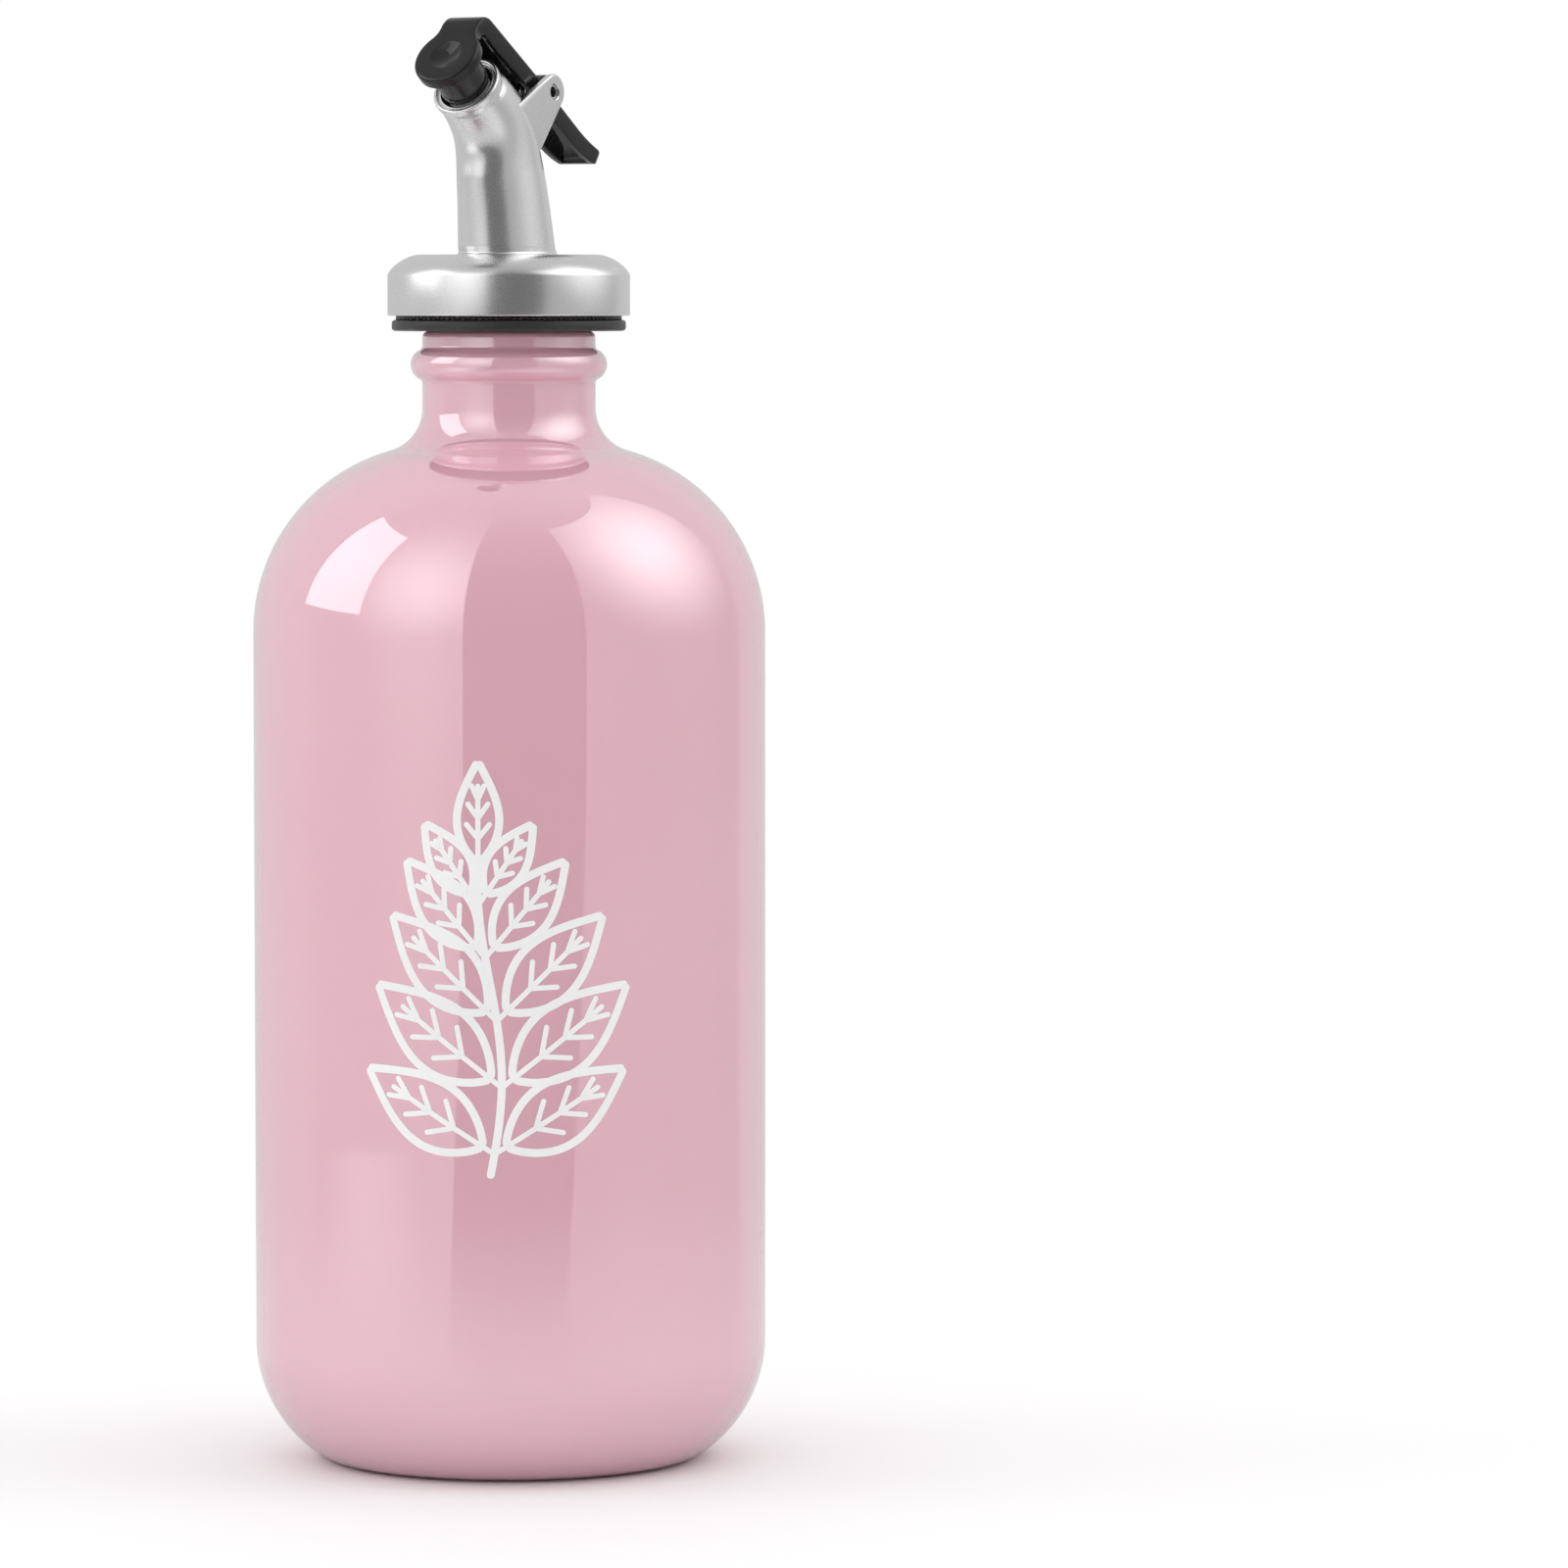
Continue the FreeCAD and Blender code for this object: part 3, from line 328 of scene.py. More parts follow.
bottle = {
    "radius": 37.43, "height": 165.2, "wall": 2.8, "base": 5.0, "punt": 2.0, "footInset": 12.0,
    "footWidth": 2.5, "footRound": 6.0, "heelRound": 20.0, "innerHeel": 12.0, "shoulderRound": 27.5,
    "neck": 12.65, "neckWall": 3.35, "neckLength": 11.2, "neckFillet": 6.5, "beadBulge": 1.7,
    "beadHeight": 4.6, "beadDrop": 4.9, "beadFillet": 0.7, "lipRound": 1.0,
    "puntSteps": 14, "turns": 200,
}


# turned profile: pushed-up middle, foot ring, heel and shoulder arcs, neck with a bead, then the inside back down
def bottleOutline(b):
    foot, heel, shoulder = b["footRound"], b["heelRound"], b["shoulderRound"]
    ring, heelIn, shoulderIn = b["radius"] - b["footInset"], b["radius"] - heel, b["radius"] - shoulder
    heelUp = foot + math.sqrt((heel - foot) ** 2 - (ring - heelIn) ** 2)
    joinAt = math.degrees(math.atan2(foot - heelUp, ring - heelIn))
    puntIn = ring - b["footWidth"]
    dome = (puntIn ** 2 + b["punt"] ** 2) / (2 * b["punt"])
    under = np.linspace(0, puntIn, b["puntSteps"])
    punt = np.stack([under, b["punt"] - dome + np.sqrt(dome ** 2 - under ** 2)], -1)
    neck, fillet = b["neck"], b["neckFillet"]
    neckUp = b["height"] - b["neckLength"]
    shoulderUp = neckUp - math.sqrt((shoulder + fillet) ** 2 - (neck + fillet - shoulderIn) ** 2)
    crownAt = math.degrees(math.atan2(neckUp - shoulderUp, neck + fillet - shoulderIn))
    beadUp, halfBead = b["height"] - b["beadDrop"], b["beadHeight"] / 2
    beadRound = (halfBead ** 2 + b["beadBulge"] ** 2) / (2 * b["beadBulge"])
    beadIn = neck + b["beadBulge"] - beadRound
    soft = b["beadFillet"]
    softUp = math.sqrt((beadRound + soft) ** 2 - (neck + soft - beadIn) ** 2)
    softAt = math.degrees(math.atan2(softUp, neck + soft - beadIn))
    lip, top, bore = b["lipRound"], b["height"], neck - b["neckWall"]
    innerFillet, innerShoulder = fillet + b["wall"], shoulder - b["wall"]
    boreUp = shoulderUp + math.sqrt((innerFillet + innerShoulder) ** 2 - (bore + innerFillet - shoulderIn) ** 2)
    innerAt = math.degrees(math.atan2(boreUp - shoulderUp, bore + innerFillet - shoulderIn))
    room, innerHeel = b["radius"] - b["wall"], b["innerHeel"]
    return np.concatenate([
        punt,
        arc((ring, foot), foot, -90, joinAt, steps=10),
        arc((heelIn, heelUp), heel, joinAt, 0, steps=30)[1:],
        arc((shoulderIn, shoulderUp), shoulder, 0, crownAt, steps=44),
        arc((neck + fillet, neckUp), fillet, crownAt + 180, 180, steps=22)[1:],
        arc((neck + soft, beadUp - softUp), soft, 180, 180 - softAt, steps=6),
        arc((beadIn, beadUp), beadRound, -softAt, softAt, steps=26)[1:],
        arc((neck + soft, beadUp + softUp), soft, 180 + softAt, 180, steps=6)[1:],
        arc((neck - lip, top - lip), lip, 0, 90, steps=8),
        arc((bore + lip, top - lip), lip, 90, 180, steps=8),
        arc((bore + innerFillet, boreUp), innerFillet, 180, innerAt + 180, steps=16),
        arc((shoulderIn, shoulderUp), innerShoulder, innerAt, 0, steps=30)[1:],
        arc((room - innerHeel, b["base"] + innerHeel), innerHeel, 0, -90, steps=16),
        [[0, b["base"]]],
    ])


glassSkin = skin(turned(bottleOutline(bottle), bottle["turns"]))
glass = makePiece("glass_body", makeMesh("glass_body", [glassSkin], sharp=40), glassLook)
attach(glass, "bottle")
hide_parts("glass_bottle")
print("bottle made")

sprig = {
    "azimuth": 29.0, "radius": 37.435, "raise": 0.03, "low": 45.0, "high": 90.0, "sway": 1.7, "line": 1.15,
    "vein": 0.75, "leafAt": (52.5, 62.0, 71.5, 80.5, 88.0), "leafLong": (20.5, 21.5, 19.5, 16.0, 12.0),
    "leafLean": (58.0, 52.0, 46.0, 40.0, 34.0), "leafWide": 0.23, "stalk": 2.0, "topLong": 14.5, "topWide": 0.21,
    "waves": 0.8, "leafDrop": 4.0, "bowPower": 0.8, "ribTo": 0.78, "veinAt": (0.24, 0.44, 0.62), "veinAhead": 0.16,
    "veinReach": 0.62, "apart": 0.0002, "spacing": 0.5, "leastSteps": 4, "endSteps": 7, "stemSteps": 80,
    "sideSteps": 40, "ribSteps": 20, "veinSteps": 8,
}


# stem of the sprig: its sideways sway is a sine of the height
def stemAt(height):
    share = (height - sprig["low"]) / (sprig["high"] - sprig["low"])
    return sprig["sway"] * np.sin(share * 2 * np.pi * sprig["waves"])


# flat stroke along a line: half widths end in half circles, and a four-sided section is wrapped on the round wall
def stroke(line, width, level):
    length = np.concatenate([[0], np.cumsum(np.linalg.norm(np.diff(line, axis=0), axis=1))])
    half = width / 2
    ends = half * (1 - np.cos(np.linspace(0, np.pi / 2, sprig["endSteps"])))
    steps = max(sprig["leastSteps"], int(length[-1] / sprig["spacing"]))
    inner = np.linspace(half, length[-1] - half, steps)
    at = np.concatenate([ends, inner[1:-1], length[-1] - ends[::-1]])
    u, v = np.interp(at, length, line[:, 0]), np.interp(at, length, line[:, 1])
    along = np.stack([np.gradient(u, at), np.gradient(v, at)], -1)
    along /= np.linalg.norm(along, axis=1)[:, None]
    near = np.minimum(np.minimum(at, length[-1] - at), half)
    wide = np.sqrt(np.maximum(half ** 2 - (half - near) ** 2, 0))
    side = np.array([-1, 1, 1, -1])
    out = sprig["radius"] + level + np.array([-1, -1, 1, 1]) * sprig["raise"]
    across = u[:, None] - along[:, 1:] * wide[:, None] * side
    height = v[:, None] + along[:, :1] * wide[:, None] * side
    turn = np.radians(sprig["azimuth"]) + across / sprig["radius"]
    return np.stack([out * np.sin(turn), -out * np.cos(turn), height], -1)


# leaf: two bowed sides whose bow is a sine of the way along, a midrib and slanting veins
def leafLines(root, lean, long, wide):
    way, step = np.linspace(0, 1, sprig["sideSteps"]), np.linspace(0, 1, sprig["veinSteps"])
    rib = np.linspace(0, sprig["ribTo"], sprig["ribSteps"])
    tilt = math.radians(lean)
    ahead, beside = np.array([math.sin(tilt), math.cos(tilt)]), np.array([math.cos(tilt), -math.sin(tilt)])

    def bow(share):
        return long * wide * np.sin(np.pi * share ** sprig["bowPower"])

    def at(share, off):
        return root + np.outer(share * long, ahead) + np.outer(off, beside)

    lines = [(at(way, side * bow(way)), sprig["line"]) for side in (-1, 1)]
    lines.append((at(rib, 0 * rib), sprig["vein"]))
    for start in sprig["veinAt"]:
        reach = bow(start + sprig["veinAhead"]) * sprig["veinReach"]
        for side in (-1, 1):
            lines.append((at(start + sprig["veinAhead"] * step, side * reach * step), sprig["vein"]))
    return lines


stemHeight = np.linspace(sprig["low"], sprig["high"], sprig["stemSteps"])
sprigLines = [(np.stack([stemAt(stemHeight), stemHeight], -1), sprig["line"])]
for height, long, lean in zip(sprig["leafAt"], sprig["leafLong"], sprig["leafLean"]):
    root = np.array([stemAt(height - sprig["leafDrop"]), height - sprig["leafDrop"]])
    for side in (-1, 1):
        tilt = math.radians(side * lean)
        foot = root + sprig["stalk"] * np.array([math.sin(tilt), math.cos(tilt)])
        sprigLines.append((np.stack([root, (root + foot) / 2, foot]), sprig["vein"]))
        sprigLines += leafLines(foot, side * lean, long, sprig["leafWide"])
tip = np.array([stemAt(sprig["high"]), sprig["high"]])
sprigLines += leafLines(tip, 0.0, sprig["topLong"], sprig["topWide"])
# each stroke lies a trace above the one before, so that none share a face
sprigSkins = [skin(stroke(line, width, sprig["apart"] * k)) for k, (line, width) in enumerate(sprigLines)]
leafPrint = makePiece("leaf_print", makeMesh("leaf_print", sprigSkins, sharp=35), printLook)
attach(leafPrint, "bottle")
print("print made:", len(sprigLines), "strokes")

sleeve = {
    "lip": 165.2, "flange": 17.1, "thick": 1.6, "round": 0.5, "bore": 5.8, "tube": 7.4, "long": 20.0,
    "fin": 9.2, "finHigh": 2.4, "finGap": 1.6, "fins": 4, "rootShare": 0.5, "finRound": 0.25, "turns": 144,
}


# turned profile: a flange on the lip above a sleeve with fins that widen upward
def sleeveOutline(s):
    corners = [(s["bore"], s["thick"], 0), (s["bore"], -s["long"], 0), (s["tube"], -s["long"], s["finRound"])]
    for k in reversed(range(s["fins"])):
        top = -(s["finGap"] + (s["finHigh"] + s["finGap"]) * k)
        corners += [
            (s["tube"], top - s["finHigh"], 0),
            (s["fin"], top - s["finHigh"] * s["rootShare"], s["finRound"]),
            (s["fin"], top, s["finRound"]),
            (s["tube"], top, 0),
        ]
    corners += [(s["tube"], 0, 0), (s["flange"], 0, s["round"]), (s["flange"], s["thick"], s["round"])]
    line = roundedLine(corners, closed=True)
    return line + np.array([0, s["lip"]])


sleeveSkin = skin(turned(sleeveOutline(sleeve), sleeve["turns"]), ringRows=True)
rubber = makePiece("stopper_rubber", makeMesh("stopper_rubber", [sleeveSkin], sharp=35), rubberLook)
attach(rubber, "pourer")
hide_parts("stopper_sleeve")

core = smoothCopy("inner_cup", "pour_core", coreLook, sharp=30)
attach(core, "pourer")
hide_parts("pour_core")

vent = smoothCopy("air_tube", "vent_tube", ventLook, sharp=30)
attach(vent, "pourer")
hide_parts("vent_tube")
print("stopper made")

# stations of the spout: y, height over the cap, lean, outer and inner radius, share of the egg
spout = {
    "capFoot": 167.4, "capTop": 176.3, "cap": 17.7, "roundWide": 4.5, "roundHigh": 3.15, "roundPower": 1.3,
    "roundFrom": 4, "roundSteps": 22, "edge": 0.25, "cavity": 16.0, "roof": 2.0, "rootFillet": 0.45, "rootGap": 0.2,
    "base": (0.0, -1.0, 0.0, 7.2, 5.8, 1.0), "throat": (-2.1, 12.6, 11.0, 6.3, 4.9, 1.0),
    "elbow": (-4.41, 18.7, 33.0, 5.75, 4.35, 0.55), "mouth": (-11.2, 24.4, 50.0, 4.95, 4.3, 0.0),
    "egg": (-0.07, 0.22, 0.08), "lip": 5.2, "lipLong": 1.5, "lipRoll": 0.28, "lipInner": 4.6, "flare": 0.5,
    "flareRound": 0.4, "groove": 0.5, "ring": (4.34, 4.06), "ringDown": 0.2, "ringRound": 0.09, "ringFoot": 0.3,
    "stopOut": 1.0, "stopIn": 0.5, "turns": 128, "steps": 60,
}
capTop = spout["capTop"]
mouthCentre, mouthLean = (spout["mouth"][0], capTop + spout["mouth"][1]), spout["mouth"][2]


# one closed skin of circles along a bent path: the cap's outside, the spout up to its lip, and the way back inside
def spoutRows(s):
    stations = np.array([s[key] for key in ("base", "throat", "elbow", "mouth")])
    stations[:, 1] += capTop
    knots = np.concatenate([[0], np.cumsum(np.linalg.norm(np.diff(stations[:, :2], axis=0), axis=1))])
    at = np.linspace(0, knots[-1], s["steps"])
    tube = spline(knots, stations, at)
    tube[:, 5] = np.clip(tube[:, 5], 0, 1)
    outer, inner = tube[:, [0, 1, 2, 3, 5]], tube[::-1][:, [0, 1, 2, 4, 5]]
    inner[:, 4] = 0
    roundCentre = (s["cap"] - s["roundWide"], capTop - s["roundHigh"])
    angle = np.radians(np.linspace(s["roundFrom"], 90, s["roundSteps"]))
    capRound = np.stack([roundCentre[0] + s["roundWide"] * (np.cos(angle) / math.cos(angle[0])) ** s["roundPower"],
                         roundCentre[1] + s["roundHigh"] * np.sin(angle) ** s["roundPower"]], -1)
    cap = np.concatenate([
        roundedLine([(s["cavity"], s["capFoot"], 0), (s["cap"], s["capFoot"], s["edge"]), (*capRound[0], 0)]),
        capRound[1:],
    ])
    rootOut = outer[outer[:, 1] > capTop + s["rootFillet"]][0]
    fillet = arc((rootOut[3] + s["rootFillet"], capTop + s["rootFillet"]), s["rootFillet"], 270, 180, steps=6)
    drawn = np.concatenate([np.zeros(len(cap)), np.ones(len(fillet))])
    cap = np.concatenate([cap, fillet])
    capRows = np.stack([0 * drawn, cap[:, 1], 0 * drawn, cap[:, 0], drawn], -1)
    outer = outer[outer[:, 1] > capTop + s["rootFillet"] + s["rootGap"]]
    bore, roll = s["mouth"][4], s["lipRoll"]
    ring, soft = s["ring"], s["ringRound"]
    lipLine = roundedLine([(s["mouth"][3], -s["lipLong"] - s["flare"], 0),
                           (s["lip"], -s["lipLong"] + s["flare"], s["flareRound"]),
                           (s["lip"], 0, roll), (s["lipInner"], 0, roll), (s["lipInner"], -s["groove"], soft),
                           (ring[0], -s["groove"], soft), (ring[0], -s["ringDown"], soft),
                           (ring[1], -s["ringDown"], soft), (ring[1], s["ringFoot"] - s["lipLong"], 0),
                           (bore, -s["lipLong"], 0)], steps=7)
    tilt = math.radians(mouthLean)
    lipRows = np.stack([mouthCentre[0] - lipLine[:, 1] * math.sin(tilt),
                        mouthCentre[1] + lipLine[:, 1] * math.cos(tilt),
                        0 * lipLine[:, 0] + mouthLean, lipLine[:, 0], 0 * lipLine[:, 0]], -1)

    # how far rows lie ahead of the mouth's plane, measured along its axis
    def ahead(rows):
        return (rows[:, 0] - mouthCentre[0]) * -math.sin(tilt) + (rows[:, 1] - mouthCentre[1]) * math.cos(tilt)

    outer = outer[ahead(outer) < -s["lipLong"] - s["stopOut"]]
    inner = inner[(ahead(inner) < -s["lipLong"] - s["stopIn"]) & (inner[:, 1] > capTop - s["roof"])]
    inside = [(0, capTop - s["roof"], 0, s["base"][4], 0), (0, capTop - s["roof"], 0, s["cavity"], 0)]
    return np.concatenate([capRows, outer, lipRows, inner, inside])


ear = {
    "pivot": (4.5, 200.0), "disc": 2.6, "hole": 1.15, "inner": 4.1, "outer": 5.2, "round": 0.3, "chamfer": 0.12,
    "corners": ((-10.5, -2.5), (-8.91, -8.9), (-4.1, -8.9)), "faceShares": (0.3, 0.65), "edgeSteps": 6, "turns": 160,
}
pivot = ear["pivot"]


# plate about the pivot: rows run from the hole across the outer face, round the hull's edge and back inside
def earGrid(side):
    angle = np.linspace(0, 2 * np.pi, ear["turns"], endpoint=False)
    edge = hullRadius(angle, ear["disc"], np.array(ear["corners"]))
    hole, soft, cut = ear["hole"], ear["round"], ear["chamfer"]
    rows = [(hole, 0, ear["outer"] - cut), (hole + cut, 0, ear["outer"])]
    rows += [(hole + cut, share, ear["outer"]) for share in ear["faceShares"]]
    swing = np.radians(np.linspace(0, 90, ear["edgeSteps"]))
    rows += [(0, soft * (math.sin(a) - 1), ear["outer"] - soft + soft * math.cos(a)) for a in swing]
    rows += [(0, soft * (math.cos(a) - 1), ear["inner"] + soft - soft * math.sin(a)) for a in swing]
    rows += [(hole + cut, share, ear["inner"]) for share in ear["faceShares"][::-1]]
    rows += [(hole + cut, 0, ear["inner"]), (hole, 0, ear["inner"] + cut)]
    grid = []
    for near, share, out in rows:
        radius = near + share * (edge - soft - near) if near else edge + share
        grid.append(np.stack([side * out + 0 * angle, pivot[0] + radius * np.cos(angle),
                              pivot[1] + radius * np.sin(angle)], -1))
    return np.array(grid)


shellSkins = [skin(circles(spoutRows(spout), spout["turns"], spout["egg"]), ringRows=True)]
shellSkins += [skin(earGrid(side), ringRows=True) for side in (-1, 1)]
shell = makePiece("spout_metal", makeMesh("spout_metal", shellSkins, sharp=30), silverLook)
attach(shell, "pourer")
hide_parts("spout_shell")
print("spout made")

liner = {"outer": 3.4, "inner": 2.7, "forward": 1.9, "foot": 167.8, "bendUp": 12.4, "bend": 9.0, "recess": 0.85,
         "bendSteps": 14, "turns": 64}


# tube along an upright line, an arc and a straight line into the mouth, walked up outside and down inside
def linerRows(t):
    start = capTop + t["bendUp"]
    swing = np.radians(np.linspace(0, mouthLean, t["bendSteps"]))
    bent = np.stack([-t["forward"] - t["bend"] * (1 - np.cos(swing)), start + t["bend"] * np.sin(swing),
                     np.degrees(swing)], -1)
    tilt = math.radians(mouthLean)
    end = (mouthCentre[0] + t["recess"] * math.sin(tilt), mouthCentre[1] - t["recess"] * math.cos(tilt), mouthLean)
    path = np.concatenate([[(-t["forward"], t["foot"], 0)], bent, [end]])
    plain = np.zeros(len(path))
    wayUp = np.column_stack([path, plain + t["outer"], plain])
    wayDown = np.column_stack([path[::-1], plain + t["inner"], plain])
    return np.concatenate([wayUp, wayDown])


linerSkin = skin(circles(linerRows(liner), liner["turns"]), ringRows=True)
linerPiece = makePiece("liner_tube", makeMesh("liner_tube", [linerSkin], sharp=30), linerLook)
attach(linerPiece, "pourer")
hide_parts("spout_liner")

pin = {"radius": 1.15, "half": 4.8, "chamfer": 0.15, "bore": 0.78, "deep": 2.4, "turns": 48}
pinEnd = np.array([(0, pin["half"] - pin["deep"]), (pin["bore"], pin["half"] - pin["deep"]),
                   (pin["bore"], pin["half"]), (pin["radius"] - pin["chamfer"], pin["half"]),
                   (pin["radius"], pin["half"] - pin["chamfer"])])
pinLine = np.concatenate([pinEnd, pinEnd[::-1] * np.array([1, -1])])   # both ends are bored
pinGrid = turned(pinLine, pin["turns"])[..., [2, 0, 1]] + np.array([0, *pivot])   # turned about the cross axis
pinPiece = makePiece("pivot_pin", makeMesh("pivot_pin", [skin(pinGrid)], sharp=30), steelLook)
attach(pinPiece, "pourer")
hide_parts("hinge_pin")

spring = smoothCopy("coil_spring", "return_spring", steelLook, sharp=40)
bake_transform(spring)
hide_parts("return_spring")
print("liner, pin and spring made")

lever = {
    "tilt": -34.5, "nod": 5.5, "ahead": 20.004, "above": -7.674, "top": 1.2, "under": -1.7, "floor": 0.2,
    "half": 3.2, "channelHalf": 2.2, "channelFrom": 16.6, "channelTo": -16.55, "curlFrom": 10.7, "tail": 18.2,
    "tailTop": 2.1, "tailUnder": -0.35, "tailRound": 1.3, "channelRound": 2.6, "edge": 0.5, "small": 0.2,
    "bendAt": -16.61, "bend": 2.8, "droop": 0.5, "join": ((5.4, 4.7), (4.8, 4.4)), "hub": 2.5,
    "hubHalf": 3.9, "hubRoom": 1.95, "hubRound": 0.3, "pinHole": 1.2, "thick": 1.8, "disc": 5.1,
    "neckHalf": 3.17, "neckTop": 6.3, "meet": (4.005, 3.157), "hollowEnd": (3.2, 5.2),
    "dimple": 2.5, "dimpleDeep": 0.55, "dimpleSoft": 0.05, "dishReach": 1.2, "faceRound": 0.5, "backRound": 0.25,
    "backShares": (0.6, 0.0), "tailPinch": 0.8, "hubNear": 2.6, "hubFar": 3.2, "rowGap": 0.4, "innerFrom": 0.3,
    "innerTo": 0.7, "sink": 0.02, "joinNarrow": (0.02, 0.15), "bossSink": 0.6, "holeRound": 0.1, "bossTurns": 72,
    "turns": 160,
}
leverSteps = {"disc": 120, "hollow": 30, "side": 40, "dish": 25, "round": 6, "nose": 9, "ends": 8, "back": 30,
              "hub": 53, "front": 24, "bend": 12}


# lever's own frame turned about the pivot into the plane of symmetry
def leverPlace(x, y, z):
    tilt = math.radians(lever["tilt"])
    return np.stack([x + 0 * y, pivot[0] + y * math.cos(tilt) - z * math.sin(tilt),
                     pivot[1] + y * math.sin(tilt) + z * math.cos(tilt)], -1)


# point of the head's face: so far up along it and so far in behind it
def onFace(along, inward):
    nod = math.radians(lever["nod"])
    y = -(lever["ahead"] - along * math.sin(nod) - inward * math.cos(nod))
    return y, lever["above"] + along * math.cos(nod) - inward * math.sin(nod)


# outline of the head, its right half mirrored: the disc, a hollow curve into the neck, the neck up to the bend
def headOutline(v):
    meetAt = math.degrees(math.atan2(v["meet"][1], v["meet"][0]))
    disc = arc((0, 0), v["disc"], -90, meetAt, leverSteps["disc"])
    hollow = np.array(v["hollowEnd"])
    way = np.linspace(0, 1, leverSteps["hollow"])[:, None]
    start = disc[-1]
    slope = np.array([-math.sin(math.radians(meetAt)), math.cos(math.radians(meetAt))])
    corner = start + slope * (start[0] - hollow[0]) / -slope[0]
    curve = (1 - way) ** 2 * start + 2 * way * (1 - way) * corner + way ** 2 * hollow
    steps = leverSteps["side"]
    side = np.stack([np.full(steps, v["neckHalf"]), np.linspace(hollow[1], v["neckTop"], steps)], -1)
    top = np.stack([np.linspace(v["neckHalf"], 0, steps), np.full(steps, v["neckTop"])], -1)
    right = np.concatenate([disc, curve[1:], side[1:], top[1:]])
    return np.concatenate([right, right[-2:0:-1] * np.array([-1, 1])])


# head plate: polar rows from the dished middle over the rounded rim to the middle of the back
def headGrid(v):
    angle = np.linspace(0, 2 * np.pi, v["turns"], endpoint=False)
    edge = polarRadius(angle, headOutline(v))
    dish = np.linspace(0, v["dimple"] * v["dishReach"], leverSteps["dish"])
    cup = v["dimpleDeep"] * (1 - (dish / v["dimple"]) ** 2)
    deep = (cup + np.sqrt(cup ** 2 + v["dimpleSoft"] ** 2)) / 2
    rows = [(near + 0 * angle, depth) for near, depth in zip(dish, deep)]
    soft, back = v["faceRound"], v["backRound"]
    rows += [((dish[-1] + edge - soft) / 2, 0)]
    swing = np.radians(np.linspace(0, 90, leverSteps["round"]))
    rows += [(edge - soft + soft * math.sin(a), soft - soft * math.cos(a)) for a in swing]
    rows += [(edge - back + back * math.cos(a), v["thick"] - back + back * math.sin(a)) for a in swing]
    rows += [((edge - back) * share, v["thick"]) for share in v["backShares"]]
    grid = []
    for radius, inward in rows:
        y, z = onFace(radius * np.sin(angle), inward)
        grid.append(leverPlace(radius * np.cos(angle), y, z))
    return np.array(grid)


# heights of the arm's back, under edge and channel floor at a place along it: flat, then arcs that curl up to the
# tail, a straight droop towards the head, and circles that swell all three round the hub
def armHeights(y, v):
    round2 = np.maximum(v["hub"] ** 2 - y ** 2, 0)
    room2 = np.maximum(v["hubRoom"] ** 2 - y ** 2, 0)
    run = np.maximum(y - v["curlFrom"], 0)
    long, rise = v["tail"] - v["curlFrom"], v["tailTop"] - v["top"]
    lift = v["tailUnder"] - v["under"]
    upRound, underRound = (long ** 2 + rise ** 2) / (2 * rise), (long ** 2 + lift ** 2) / (2 * lift)
    sag = v["droop"] * np.clip(y / v["bendAt"], 0, 1)
    top = np.maximum(v["top"] + upRound - np.sqrt(upRound ** 2 - run ** 2) - sag, np.sqrt(round2))
    under = np.minimum(v["under"] + underRound - np.sqrt(underRound ** 2 - run ** 2) - sag, -np.sqrt(round2))
    floor = np.maximum(v["floor"] - sag, np.sqrt(room2))
    return top, under, floor


